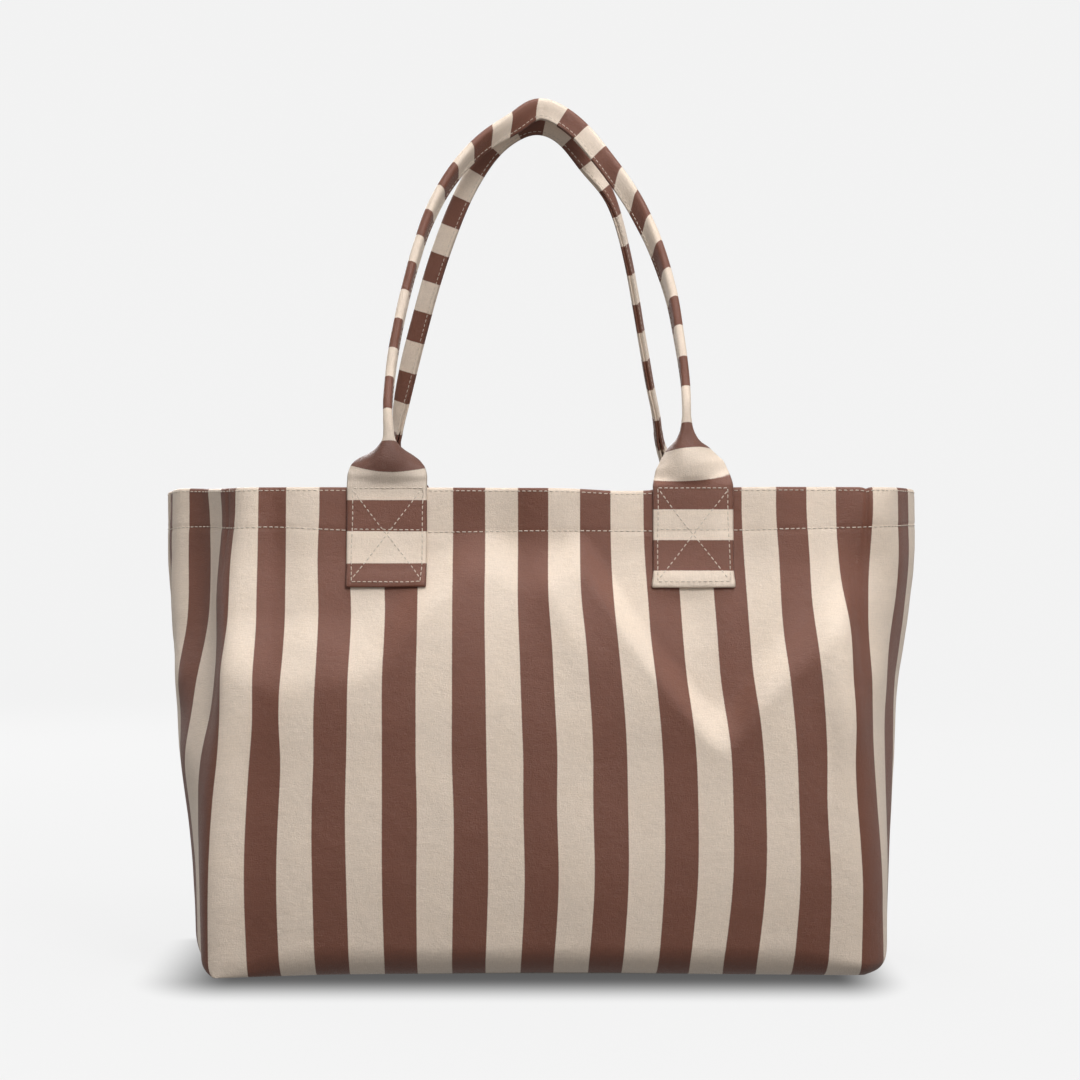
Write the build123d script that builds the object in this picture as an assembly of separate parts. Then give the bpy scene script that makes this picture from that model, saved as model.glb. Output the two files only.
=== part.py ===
from build123d import *
import math
import os

# ---------------------------------------------------------------- driving dimensions (mm)
STRIPE = 25.0            # width of one woven stripe
BASE_W = 485.0           # base, left to right
BASE_D = 204.0           # base, front to back
RIM_Z = 353.0            # height of the open rim
RIM_CREASE_W = 460.0     # rim, between the two corner creases of one face
RIM_D = 156.0            # rim, front face to back face
RIM_SEAM_W = 568.0       # rim, side seam to side seam
CLOTH = 1.2              # outer cloth, canvas with its fused interlining
HEM = 30.0               # depth of the turned hem
BOTTOM_R = 14.0          # rounding where the walls turn under the base
CORNER_SET = 16.0        # how far each vertical corner is rounded

BOARD_T = 2.4            # base board
BOARD_INSET = 17.0
LINING = 0.6
LINING_GAP = 2.2         # from the outer face of the wall to the lining
LINING_Z0 = 4.2
PATCH_T = 0.6            # reinforcement behind each strap end
PATCH_W, PATCH_H = 62.0, 42.0

STRAP_W = 57.0           # strap laid flat, where it is stitched down
STRAP_T = 2.4
PAD_X = 111.0            # centre of each strap end, left and right of the middle
PAD_DROP = 72.0          # how far a strap end reaches below the rim
STITCH_W, STITCH_H = 51.5, 68.0
THREAD = 0.7

GRIP_R = 5.5             # folded grip, as a round bar of the same section
NECK_H = 34.0            # flare from the flat strap to the folded grip
NECK_T = 3.0
ARCH_TOP_Z = 638.0       # centre line of the grip at its highest
ARCH_TOP_Y = 5.6         # the two grips lean together over the middle
HINGE_Y = 84.0           # swing line of a handle, in front of its strap ends
HINGE_Z = 356.0

POCKET_W, POCKET_H, POCKET_T = 190.0, 140.0, 0.6
LABEL_W, LABEL_H, LABEL_T = 22.0, 42.0, 0.4

os.makedirs("parts", exist_ok=True)

WALL_LEAN = math.degrees(math.atan((BASE_D - RIM_D) / 2 / RIM_Z))   # face against the vertical


# ---------------------------------------------------------------- outline of the bag body
def offset_polygon(pts, d):
    """Moves every side of a convex, counter-clockwise polygon inwards by d."""
    out = []
    n = len(pts)
    for i in range(n):
        a, b, c = pts[i - 1], pts[i], pts[(i + 1) % n]
        e1 = (b[0] - a[0], b[1] - a[1])
        e2 = (c[0] - b[0], c[1] - b[1])
        l1, l2 = math.hypot(*e1), math.hypot(*e2)
        n1, n2 = (-e1[1] / l1, e1[0] / l1), (-e2[1] / l2, e2[0] / l2)
        k = 1 + n1[0] * n2[0] + n1[1] * n2[1]
        out.append((b[0] + d * (n1[0] + n2[0]) / k, b[1] + d * (n1[1] + n2[1]) / k))
    return out


BASE = [(-BASE_W / 2, -BASE_D / 2), (BASE_W / 2, -BASE_D / 2), (BASE_W / 2, 0),
        (BASE_W / 2, BASE_D / 2), (-BASE_W / 2, BASE_D / 2), (-BASE_W / 2, 0)]
RIM = [(-RIM_CREASE_W / 2, -RIM_D / 2), (RIM_CREASE_W / 2, -RIM_D / 2), (RIM_SEAM_W / 2, 0),
       (RIM_CREASE_W / 2, RIM_D / 2), (-RIM_CREASE_W / 2, RIM_D / 2), (-RIM_SEAM_W / 2, 0)]


def outline(z, d, inset=0.0):
    """Body outline at height z, d mm inside the outer face, with rounded vertical corners."""
    t = z / RIM_Z
    pts = [(b[0] + (r[0] - b[0]) * t, b[1] + (r[1] - b[1]) * t) for b, r in zip(BASE, RIM)]
    pts = offset_polygon(pts, d + inset)
    out = []
    for i, p in enumerate(pts):
        if i in (2, 5):
            out.append(p)
            continue
        a, c = pts[i - 1], pts[(i + 1) % 6]
        s = CORNER_SET - min(d, 4)
        la, lc = math.dist(a, p), math.dist(c, p)
        pa = (p[0] + (a[0] - p[0]) * s / la, p[1] + (a[1] - p[1]) * s / la)
        pc = (p[0] + (c[0] - p[0]) * s / lc, p[1] + (c[1] - p[1]) * s / lc)
        for k in range(4):
            u = k / 3
            out.append(tuple((1 - u) ** 2 * pa[j] + 2 * u * (1 - u) * p[j] + u * u * pc[j] for j in (0, 1)))
    return out


def section(z, d, inset=0.0):
    return Polyline(*[(x, y, z) for x, y in outline(z, d, inset)], close=True)


def body_solid(d, z0, z1, rounded=True):
    """Closed solid of the body, d mm inside the outer face, from z0 to z1."""
    levels = []
    if rounded:
        for a in (0, 30, 60):
            levels.append((z0 + BOTTOM_R * (1 - math.cos(math.radians(a))),
                           BOTTOM_R * (1 - math.sin(math.radians(a)))))
        levels.append((z0 + BOTTOM_R, 0.0))
    else:
        levels.append((z0, 0.0))
    levels.append((z1, 0.0))
    wires = [Wire(section(z, d, i).edges()) for z, i in levels]
    return Solid.make_loft(wires, ruled=True)


def half(shape, side):
    """The half of a body shell in front of (side -1) or behind (side +1) the side seams."""
    return shape & Pos(0, side * 200, 300) * Box(900, 400, 900)


def one(shape):
    solids = shape.solids()
    return solids[0] if len(solids) == 1 else Compound(children=list(solids))


# ---------------------------------------------------------------- outer cloth, hem turned in
outer = body_solid(0, 0, RIM_Z) - body_solid(CLOTH, CLOTH, RIM_Z - HEM) \
    - body_solid(2 * CLOTH, RIM_Z - HEM - 60, RIM_Z + 5, rounded=False)
# below the hem the cloth is single, so the inside there is cleared to one thickness
export_step(one(half(outer, -1)), "parts/outer_front_panel.step")
export_step(one(half(outer, 1)), "parts/outer_back_panel.step")

# ---------------------------------------------------------------- lining, board, reinforcement
lining = body_solid(LINING_GAP, LINING_Z0, RIM_Z - HEM - 0.4) \
    - body_solid(LINING_GAP + LINING, LINING_Z0 + LINING, RIM_Z)
export_step(one(half(lining, -1)), "parts/lining_front_panel.step")
export_step(one(half(lining, 1)), "parts/lining_back_panel.step")

board = Pos(0, 0, CLOTH + 0.2 + BOARD_T / 2) * extrude(
    RectangleRounded(BASE_W - 2 * BOARD_INSET, BASE_D - 2 * BOARD_INSET, 8), BOARD_T / 2, both=True)
export_step(board, "parts/base_board.step")


def on_wall(side, x, z, depth):
    """Plane on the front (side -1) or back (side +1) face at (x, z), depth mm outside the outer
    face; its local Y runs up the face and its local Z points away from the bag."""
    a = math.radians(WALL_LEAN)
    y = side * (BASE_D / 2 - math.tan(a) * z)
    n = (0, side * math.cos(a), math.sin(a))
    o = (x, y + n[1] * depth, z + n[2] * depth)
    return Plane(origin=o, x_dir=(-side, 0, 0), z_dir=n)


SIDES = {"front": -1, "back": 1}
HANDS = {"left": -1, "right": 1}
pads = {}
for face, side in SIDES.items():
    for hand, hx in HANDS.items():
        x = hx * PAD_X
        mid = RIM_Z - PAD_DROP / 2
        # flat end of the handle strap, its lower edge turned under
        pad = on_wall(side, x, mid, 0.1 + STRAP_T / 2) * Box(STRAP_W, PAD_DROP, STRAP_T)
        fold = on_wall(side, x, RIM_Z - PAD_DROP + 6, 0.1 + STRAP_T + 0.3) * Box(STRAP_W, 11.0, 0.6)
        pad = pad + fold
        pads[face, hand] = pad
        export_step(one(pad), f"parts/{face}_{hand}_strap_end.step")

        # reinforcement patch between the outer cloth and the lining
        patch = on_wall(side, x, RIM_Z - HEM - 1 - PATCH_H / 2, -CLOTH - 0.15 - PATCH_T / 2) * \
            Box(PATCH_W, PATCH_H, PATCH_T)
        export_step(one(patch), f"parts/{face}_{hand}_reinforcement.step")

        # stitched box with a cross
        h = 0.1 + STRAP_T + 0.6 + THREAD / 2 + 0.05
        pl = on_wall(side, x, RIM_Z - 2.5 - STITCH_H / 2, h)
        bars = [Pos(0, s * STITCH_H / 2, 0) * Box(STITCH_W, THREAD, THREAD) for s in (-1, 1)]
        bars += [Pos(s * STITCH_W / 2, 0, 0) * Box(THREAD, STITCH_H + THREAD, THREAD) for s in (-1, 1)]
        ang = math.degrees(math.atan2(STITCH_H, STITCH_W))
        diag = math.hypot(STITCH_W, STITCH_H) - 1
        bars += [Rot(0, 0, s * ang) * Box(diag, THREAD, THREAD) for s in (-1, 1)]
        cross = bars[0]
        for b in bars[1:]:
            cross = cross + b
        export_step(one(pl * cross), f"parts/{face}_{hand}_box_stitching.step")


# ---------------------------------------------------------------- stitch rows round the rim
def stitch_ring(z):
    ring = Solid.make_loft([Wire(section(z - THREAD / 2, -0.75).edges()),
                            Wire(section(z + THREAD / 2, -0.75).edges())], ruled=True)
    core = Solid.make_loft([Wire(section(z - THREAD, -0.2).edges()),
                            Wire(section(z + THREAD, -0.2).edges())], ruled=True)
    ring = ring - core
    for side in SIDES.values():
        for hx in HANDS.values():
            ring = ring - Pos(hx * PAD_X, side * 100, z) * Box(STRAP_W + 1, 80, 10)
    return one(ring)


export_step(stitch_ring(RIM_Z - 2.2), "parts/rim_stitch_row.step")
export_step(stitch_ring(RIM_Z - HEM + 0.6), "parts/hem_stitch_row.step")

# ---------------------------------------------------------------- patch pocket and label inside
pocket = on_wall(1, 0, 235, -(LINING_GAP + LINING + 0.2 + POCKET_T / 2)) * Box(POCKET_W, POCKET_H, POCKET_T)
export_step(one(pocket), "parts/inner_pocket.step")
label = on_wall(-1, -150, 270, -(LINING_GAP + LINING + 0.2 + LABEL_T / 2)) * Box(LABEL_W, LABEL_H, LABEL_T)
export_step(one(label), "parts/care_label.step")

# ---------------------------------------------------------------- handles
LEAN_Y0 = RIM_D / 2 + 0.1 + STRAP_T / 2 + 0.2          # middle of the strap at the rim
LEAN = math.atan((LEAN_Y0 - ARCH_TOP_Y) / (ARCH_TOP_Z - RIM_Z))
TOP_V = (ARCH_TOP_Z - RIM_Z) / math.cos(LEAN)          # arch height measured in its own plane
# centre line of one leg, in the handle's plane: (x, share of the arch height)
LEG = [(-111.0, 0.10), (-111.0, 0.20), (-103.5, 0.40), (-90.0, 0.60), (-69.0, 0.80), (-34.0, 0.955)]


def handle_plane(side):
    n = (0, side * math.cos(LEAN), math.sin(LEAN))
    return Plane(origin=(0, side * LEAN_Y0, RIM_Z), x_dir=(-side, 0, 0), z_dir=n)


def handle(side):
    pl = handle_plane(side)
    leg = [(x, v * TOP_V) for x, v in LEG]
    pts = leg + [(0.0, TOP_V + 3.0)] + [(-x, v) for x, v in reversed(leg)]
    runs = [math.dist(pts[i], pts[i + 1]) for i in range(len(pts) - 1)]
    radii = []
    for i in range(1, len(pts) - 1):
        a = math.atan2(pts[i][1] - pts[i - 1][1], pts[i][0] - pts[i - 1][0])
        b = math.atan2(pts[i + 1][1] - pts[i][1], pts[i + 1][0] - pts[i][0])
        turn = abs(a - b)
        radii.append(0.45 * min(runs[i - 1], runs[i]) / math.tan(turn / 2))
    path = FilletPolyline(*[(x, v, 0) for x, v in pts], radius=radii)
    disc = Plane(origin=path @ 0, z_dir=path % 0) * Circle(GRIP_R)
    grip = sweep(disc, path=path)
    print("grip radii", [round(r, 1) for r in radii], "length", round(path.length, 1),
          "volume ratio", round(grip.volume / (math.pi * GRIP_R ** 2 * path.length), 4))
    z0 = (HINGE_Z - RIM_Z) / math.cos(LEAN)
    solid = grip
    for hx in (-1, 1):
        c = hx * PAD_X
        w = STRAP_W / 2
        # flat strap above the rim, folding in to the grip
        prof = [(c - w, z0), (c + w, z0), (c + w - 1, z0 + 9), (c + w * 0.78, z0 + 16), (c + w * 0.45, z0 + 24),
                (c + GRIP_R - 0.6, NECK_H), (c - GRIP_R + 0.6, NECK_H), (c - w * 0.45, z0 + 24),
                (c - w * 0.78, z0 + 16), (c - w + 1, z0 + 9)]
        neck = extrude(make_face(Polyline(*prof, close=True)), NECK_T / 2, both=True)
        solid = solid + neck
    return pl * solid, path


for face, side in SIDES.items():
    shape, path = handle(side)
    export_step(one(shape), f"parts/{face}_handle_strap.step")
    # row of stitches along one edge of the folded grip
    pl = handle_plane(side)
    trace = FilletPolyline(*[(x * 0.995, v * TOP_V, GRIP_R + THREAD / 2 + 0.05) for x, v in
                             [(x, v) for x, v in LEG[1:]] + [(0.0, 1.008)] + [(-x, v) for x, v in reversed(LEG[1:])]],
                           radius=60)
    th = sweep(Plane(origin=trace @ 0, z_dir=trace % 0) * Circle(THREAD / 2), path=trace)
    export_step(one(pl * th), f"parts/{face}_handle_edge_stitching.step")
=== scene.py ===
import json
import math
import bpy
import numpy as np
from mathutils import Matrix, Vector


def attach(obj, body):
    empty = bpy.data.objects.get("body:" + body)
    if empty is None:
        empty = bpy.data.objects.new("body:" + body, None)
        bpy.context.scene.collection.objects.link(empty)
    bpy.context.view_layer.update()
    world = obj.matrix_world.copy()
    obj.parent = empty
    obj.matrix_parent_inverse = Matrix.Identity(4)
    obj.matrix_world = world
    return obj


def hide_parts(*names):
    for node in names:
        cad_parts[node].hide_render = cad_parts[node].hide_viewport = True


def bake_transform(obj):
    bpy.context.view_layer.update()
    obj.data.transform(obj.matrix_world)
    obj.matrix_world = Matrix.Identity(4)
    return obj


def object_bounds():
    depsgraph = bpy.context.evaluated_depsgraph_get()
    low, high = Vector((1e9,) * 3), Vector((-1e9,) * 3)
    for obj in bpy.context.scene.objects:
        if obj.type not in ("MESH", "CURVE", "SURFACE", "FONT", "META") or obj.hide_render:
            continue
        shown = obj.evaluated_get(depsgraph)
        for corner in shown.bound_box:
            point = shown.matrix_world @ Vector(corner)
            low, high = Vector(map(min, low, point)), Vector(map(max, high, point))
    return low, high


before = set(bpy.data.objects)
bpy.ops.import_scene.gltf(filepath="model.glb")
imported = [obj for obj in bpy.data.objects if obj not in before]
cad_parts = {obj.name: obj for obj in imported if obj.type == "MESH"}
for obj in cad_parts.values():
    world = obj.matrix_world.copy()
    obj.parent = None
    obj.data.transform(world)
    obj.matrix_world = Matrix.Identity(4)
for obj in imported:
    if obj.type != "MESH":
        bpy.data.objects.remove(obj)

CAD_BOX = [list(map(float, p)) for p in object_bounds()]
MM = 0.001

# ================================================================ small numeric helpers


def spline_m(x, y):
    """Second derivatives of the natural cubic spline through (x, y); y may have trailing axes."""
    x = np.asarray(x, float)
    y = np.asarray(y, float)
    n = len(x)
    h = np.diff(x)
    a = np.zeros((n, n))
    r = np.zeros_like(y)
    a[0, 0] = a[-1, -1] = 1
    for i in range(1, n - 1):
        a[i, i - 1], a[i, i], a[i, i + 1] = h[i - 1], 2 * (h[i - 1] + h[i]), h[i]
        r[i] = 6 * ((y[i + 1] - y[i]) / h[i] - (y[i] - y[i - 1]) / h[i - 1])
    return np.linalg.solve(a, r.reshape(n, -1)).reshape(y.shape)


def spline(x, y, q):
    """Natural cubic spline at q (1-D)."""
    x = np.asarray(x, float)
    y = np.asarray(y, float)
    q = np.asarray(q, float)
    m = spline_m(x, y)
    i = np.clip(np.searchsorted(x, q) - 1, 0, len(x) - 2)
    h = (x[i + 1] - x[i])
    s = (q - x[i]) / h
    ex = (slice(None),) + (None,) * (y.ndim - 1)
    a, b, h2 = (1 - s)[ex], s[ex], (h * h / 6)[ex]
    return a * y[i] + b * y[i + 1] + ((a ** 3 - a) * m[i] + (b ** 3 - b) * m[i + 1]) * h2


def sstep(a, b, x):
    t = np.clip((np.asarray(x, float) - a) / (b - a), 0, 1)
    return t * t * (3 - 2 * t)


def bump(x, c, w):
    return np.exp(-((np.asarray(x, float) - c) / w) ** 2)


class Noise2:
    """Smooth seeded noise in the plane, about -1 to 1, with features of the given size."""

    def __init__(self, seed, size, extent=1400.0):
        self.size = size
        n = int(extent / size) + 6
        self.v = np.random.default_rng(seed).uniform(-1, 1, (n, n))
        self.half = extent / 2

    def __call__(self, x, y):
        u = (np.asarray(x, float) + self.half) / self.size
        v = (np.asarray(y, float) + self.half) / self.size
        n = self.v.shape[0]
        i, j = np.floor(u).astype(int), np.floor(v).astype(int)
        fu, fv = u - i, v - j
        out = 0

        def w(f, k):
            return {-1: (1 - f) ** 3 / 6, 0: (3 * f ** 3 - 6 * f ** 2 + 4) / 6,
                    1: (-3 * f ** 3 + 3 * f ** 2 + 3 * f + 1) / 6, 2: f ** 3 / 6}[k]
        for a in (-1, 0, 1, 2):
            for b in (-1, 0, 1, 2):
                out = out + w(fu, a) * w(fv, b) * self.v[(i + a) % n, (j + b) % n]
        return out * 1.6


def unit(v):
    return v / np.maximum(np.linalg.norm(v, axis=-1, keepdims=True), 1e-12)


# ================================================================ mesh helpers


def make_mesh(name, verts_mm, faces, uv=None, smooth=True, mat=None):
    """Mesh object from millimetre vertices; uv is one (u, v) per vertex."""
    me = bpy.data.meshes.new(name)
    v = np.asarray(verts_mm, float) * MM
    me.from_pydata([tuple(p) for p in v], [], [tuple(int(i) for i in f) for f in faces])
    if uv is not None:
        lay = me.uv_layers.new(name="UVMap")
        idx = np.empty(len(me.loops), np.int32)
        me.loops.foreach_get("vertex_index", idx)
        lay.data.foreach_set("uv", np.asarray(uv, np.float32)[idx].ravel())
    me.polygons.foreach_set("use_smooth", [smooth] * len(me.polygons))
    me.update()
    ob = bpy.data.objects.new(name, me)
    bpy.context.scene.collection.objects.link(ob)
    if mat is not None:
        me.materials.append(mat)
    return ob


def grid_faces(nr, nc, start=0, flip=False, wrap=False):
    r = np.arange(nr - 1)[:, None]
    c = np.arange(nc if wrap else nc - 1)[None, :]
    c2 = (c + 1) % nc
    a = start + r * nc + c
    b = start + r * nc + c2
    d = start + (r + 1) * nc + c
    e = start + (r + 1) * nc + c2
    f = np.stack([a, b, e, d] if not flip else [a, d, e, b], -1)
    return f.reshape(-1, 4)


def apply_modifiers(ob):
    bpy.context.view_layer.update()
    dg = bpy.context.evaluated_depsgraph_get()
    new = bpy.data.meshes.new_from_object(ob.evaluated_get(dg), preserve_all_data_layers=True, depsgraph=dg)
    old = ob.data
    ob.modifiers.clear()
    ob.data = new
    new.name = old.name + "_final"
    bpy.data.meshes.remove(old)
    return ob


def solidify(ob, thick_mm):
    m = ob.modifiers.new("thickness", "SOLIDIFY")
    m.thickness = thick_mm * MM
    m.offset = -1.0
    m.use_rim = True
    return apply_modifiers(ob)


def pearls(name, runs, mat, r=0.36, dash=2.9, pitch=4.1, seed=1, sides=6, lift=0.0):
    """One mesh of sewn stitches. runs are (points, normals) polylines in mm."""
    rng = np.random.default_rng(seed)
    V, F, U = [], [], []
    base = 0
    ts = np.array([0.0, 0.07, 0.25, 0.5, 0.75, 0.93, 1.0])
    rad = np.array([0.30, 0.80, 1.0, 1.0, 1.0, 0.80, 0.30])
    sink = np.array([-0.75, -0.30, 0.12, 0.26, 0.12, -0.30, -0.75])
    for pts, nrm in runs:
        pts, nrm = np.asarray(pts, float), np.asarray(nrm, float)
        seg = np.linalg.norm(np.diff(pts, axis=0), axis=1)
        s = np.r_[0, np.cumsum(seg)]
        n = max(1, int(round((s[-1] + pitch - dash) / pitch)))
        p = s[-1] / n if n > 1 else s[-1]
        for i in range(n):
            c = (i + 0.5) * p + rng.normal(0, 0.07)
            ln = dash * (p / pitch if n > 1 else 1) * (1 + rng.normal(0, 0.035))
            q = np.clip(c - ln / 2 + ts * ln, 0, s[-1])
            P = np.stack([np.interp(q, s, pts[:, k]) for k in range(3)], -1)
            N = unit(np.stack([np.interp(q, s, nrm[:, k]) for k in range(3)], -1))
            T = unit(np.gradient(P, axis=0))
            B = unit(np.cross(T, N))
            slant = rng.normal(0, 0.05) * np.linspace(-1, 1, len(q))[:, None] * ln / 2
            P = P + B * slant
            C = P + N * (sink[:, None] * r + lift)
            ang = np.linspace(0, 2 * np.pi, sides, endpoint=False)
            ring = C[:, None] + r * rad[:, None, None] * (
                np.cos(ang)[None, :, None] * B[:, None] * 1.05 + np.sin(ang)[None, :, None] * N[:, None] * 0.92)
            V.append(ring.reshape(-1, 3))
            U.append(np.stack(np.broadcast_arrays((q - q[0])[:, None] / 2.0 + i * 1.7, ang[None] / 6.283), -1).reshape(-1, 2))
            F += [tuple(f) for f in grid_faces(len(q), sides, base, wrap=True)]
            F.append(tuple(range(base + sides - 1, base - 1, -1)))
            k = base + (len(q) - 1) * sides
            F.append(tuple(range(k, k + sides)))
            base += len(q) * sides
    return make_mesh(name, np.concatenate(V), F, np.concatenate(U), mat=mat)


# ================================================================ materials


class Graph:
    def __init__(self, name):
        self.mat = bpy.data.materials.new(name)
        self.mat.use_nodes = True
        self.t = self.mat.node_tree
        self.t.nodes.clear()
        self.out = self.t.nodes.new("ShaderNodeOutputMaterial")
        self.b = self.t.nodes.new("ShaderNodeBsdfPrincipled")
        self.t.links.new(self.b.outputs[0], self.out.inputs[0])

    def node(self, kind, **props):
        n = self.t.nodes.new(kind)
        for k, v in props.items():
            setattr(n, k, v)
        return n

    def put(self, sock, val):
        if isinstance(val, bpy.types.NodeSocket):
            self.t.links.new(val, sock)
        else:
            sock.default_value = val

    def math(self, op, a, b=0.0, c=0.0):
        n = self.node("ShaderNodeMath", operation=op)
        for i, v in enumerate((a, b, c)):
            if i < len(n.inputs):
                self.put(n.inputs[i], v)
        return n.outputs[0]

    def ramp(self, v, a, b, c=0.0, d=1.0, smooth=True):
        n = self.node("ShaderNodeMapRange", interpolation_type="SMOOTHSTEP" if smooth else "LINEAR")
        for s, x in zip(n.inputs[:5], (v, a, b, c, d)):
            self.put(s, x)
        return n.outputs[0]

    def xyz(self, x, y, z=0.0):
        n = self.node("ShaderNodeCombineXYZ")
        for s, v in zip(n.inputs, (x, y, z)):
            self.put(s, v)
        return n.outputs[0]

    def noise(self, vec, scale, detail=2.0, rough=0.5):
        n = self.node("ShaderNodeTexNoise", noise_dimensions="3D")
        self.t.links.new(vec, n.inputs["Vector"])
        n.inputs["Scale"].default_value = scale
        n.inputs["Detail"].default_value = detail
        n.inputs["Roughness"].default_value = rough
        return n.outputs["Fac"] if "Fac" in n.outputs else n.outputs[0]

    def mix(self, f, a, b, mode="MIX"):
        n = self.node("ShaderNodeMix", data_type="RGBA", blend_type=mode)
        n.clamp_result = False
        self.put(n.inputs[0], f)
        self.put(n.inputs[6], a)
        self.put(n.inputs[7], b)
        return n.outputs[2]

    def bump(self, height, dist, strength=1.0, normal=None):
        n = self.node("ShaderNodeBump")
        self.put(n.inputs["Strength"], strength)
        n.inputs["Distance"].default_value = dist
        self.t.links.new(height, n.inputs["Height"])
        if normal is not None:
            self.t.links.new(normal, n.inputs["Normal"])
        return n.outputs[0]

    def uv(self):
        n = self.node("ShaderNodeUVMap", uv_map="UVMap")
        s = self.node("ShaderNodeSeparateXYZ")
        self.t.links.new(n.outputs[0], s.inputs[0])
        return n.outputs[0], s.outputs[0], s.outputs[1]


def lin(r, g, b):
    def f(c):
        c /= 255.0
        return c / 12.92 if c <= 0.04045 else ((c + 0.055) / 1.055) ** 2.4
    return (f(r), f(g), f(b), 1.0)


def weave(g, u, v, pitch):
    """Plain weave height 0..1 from cloth coordinates in mm."""
    su = g.math("SINE", g.math("MULTIPLY", u, math.pi / pitch))
    sv = g.math("SINE", g.math("MULTIPLY", v, math.pi / pitch))
    par = g.ramp(g.math("MULTIPLY", su, sv), -0.35, 0.35)
    au, av = g.math("ABSOLUTE", su), g.math("ABSOLUTE", sv)
    n = g.node("ShaderNodeMix", data_type="FLOAT")
    g.put(n.inputs[0], par)
    g.put(n.inputs[2], au)
    g.put(n.inputs[3], av)
    return n.outputs[0]


CREAM = lin(224, 206, 188)
BROWN = lin(112, 65, 46)


def canvas(name, centre, half, painted_neck_shade=(), cream=CREAM, brown=BROWN):
    """Striped cotton canvas. UV is in stripes (25 mm) both ways; brown is |u - centre| < half, every 2."""
    g = Graph(name)
    vec, U, V = g.uv()
    umm, vmm = g.math("MULTIPLY", U, 25.0), g.math("MULTIPLY", V, 25.0)
    # dyed stripe, its edge stepping from thread to thread
    wob = g.noise(g.xyz(g.math("MULTIPLY", U, 1.0), g.math("MULTIPLY", V, 25.0)), 1.1, 2.0, 0.6)
    x = g.math("ADD", g.math("SUBTRACT", U, centre), g.math("MULTIPLY", g.math("SUBTRACT", wob, 0.5), 0.022))
    a = g.math("ABSOLUTE", g.math("WRAP", x, 1.0, -1.0))
    mask = g.ramp(a, half - 0.013, half + 0.013, 1.0, 0.0)
    # threads of both directions, each a little lighter or darker along its length
    warp = g.noise(g.xyz(g.math("MULTIPLY", umm, 1.6), g.math("MULTIPLY", vmm, 0.16)), 1.0, 3.0, 0.55)
    weft = g.noise(g.xyz(g.math("MULTIPLY", umm, 0.16), g.math("MULTIPLY", vmm, 1.6), 7.3), 1.0, 3.0, 0.55)
    cloud = g.noise(g.xyz(umm, vmm, 3.1), 0.03, 3.0, 0.6)
    grain = g.noise(g.xyz(umm, vmm, 11.0), 0.9, 2.0, 0.6)
    w = weave(g, umm, vmm, 0.62)
    tone = g.math("ADD", g.math("MULTIPLY", g.math("SUBTRACT", warp, 0.5), 0.20),
                  g.math("MULTIPLY", g.math("SUBTRACT", weft, 0.5), 0.20))
    tone = g.math("ADD", tone, g.math("MULTIPLY", g.math("SUBTRACT", cloud, 0.5), 0.13))
    tone = g.math("ADD", tone, g.math("MULTIPLY", g.math("SUBTRACT", grain, 0.5), 0.16))
    # painted shade: the weave's hollows are a little darker
    tone = g.math("ADD", tone, g.math("MULTIPLY", g.math("SUBTRACT", w, 0.6), 0.10))
    val = g.math("ADD", tone, 1.0)
    # painted shade: darker where the straps bend above the rim, standing in for the shade on the necks
    for at, reach, deep in painted_neck_shade:
        near = g.ramp(g.math("ABSOLUTE", g.math("SUBTRACT", U, at)), 0.35 * reach, reach, deep, 0.0)
        val = g.math("MULTIPLY", val, g.math("SUBTRACT", 1.0, g.math("MULTIPLY", near, g.math("ADD", 0.6, g.math("MULTIPLY", cloud, 0.8)))))
    # the dye lets a few pale fibres through
    fleck = g.ramp(g.noise(g.xyz(umm, vmm, 19.0), 1.7, 1.0, 0.5), 0.62, 0.80, 0.0, 0.16)
    br = g.mix(fleck, brown, (brown[0] * 1.9, brown[1] * 2.1, brown[2] * 2.3, 1))
    cr = g.mix(g.ramp(cloud, 0.35, 0.7, 0.0, 0.5), cream, (cream[0] * 0.97, cream[1] * 0.955, cream[2] * 0.93, 1))
    col = g.mix(mask, cr, br)
    hsv = g.node("ShaderNodeHueSaturation")
    g.put(hsv.inputs["Value"], val)
    g.put(hsv.inputs["Color"], col)
    g.put(g.b.inputs["Base Color"], hsv.outputs[0])
    rough = g.ramp(g.math("ADD", g.math("MULTIPLY", grain, 0.6), g.math("MULTIPLY", w, 0.4)), 0.2, 0.8, 0.56, 0.44, False)
    g.put(g.b.inputs["Roughness"], rough)
    g.b.inputs["Specular IOR Level"].default_value = 0.62
    g.b.inputs["Sheen Weight"].default_value = 0.12
    g.b.inputs["Sheen Roughness"].default_value = 0.35
    g.b.inputs["Sheen Tint"].default_value = (1.0, 0.95, 0.9, 1)
    n1 = g.bump(w, 0.00016, 0.8)
    n2 = g.bump(g.math("ADD", g.math("MULTIPLY", warp, 0.5), g.math("ADD", g.math("MULTIPLY", weft, 0.5), grain)), 0.00028, 0.8, n1)
    crumple = g.noise(g.xyz(umm, vmm, 5.0), 0.10, 3.0, 0.55)
    n3 = g.bump(crumple, 0.0011, 0.55, n2)
    g.put(g.b.inputs["Normal"], n3)
    return g.mat


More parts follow.
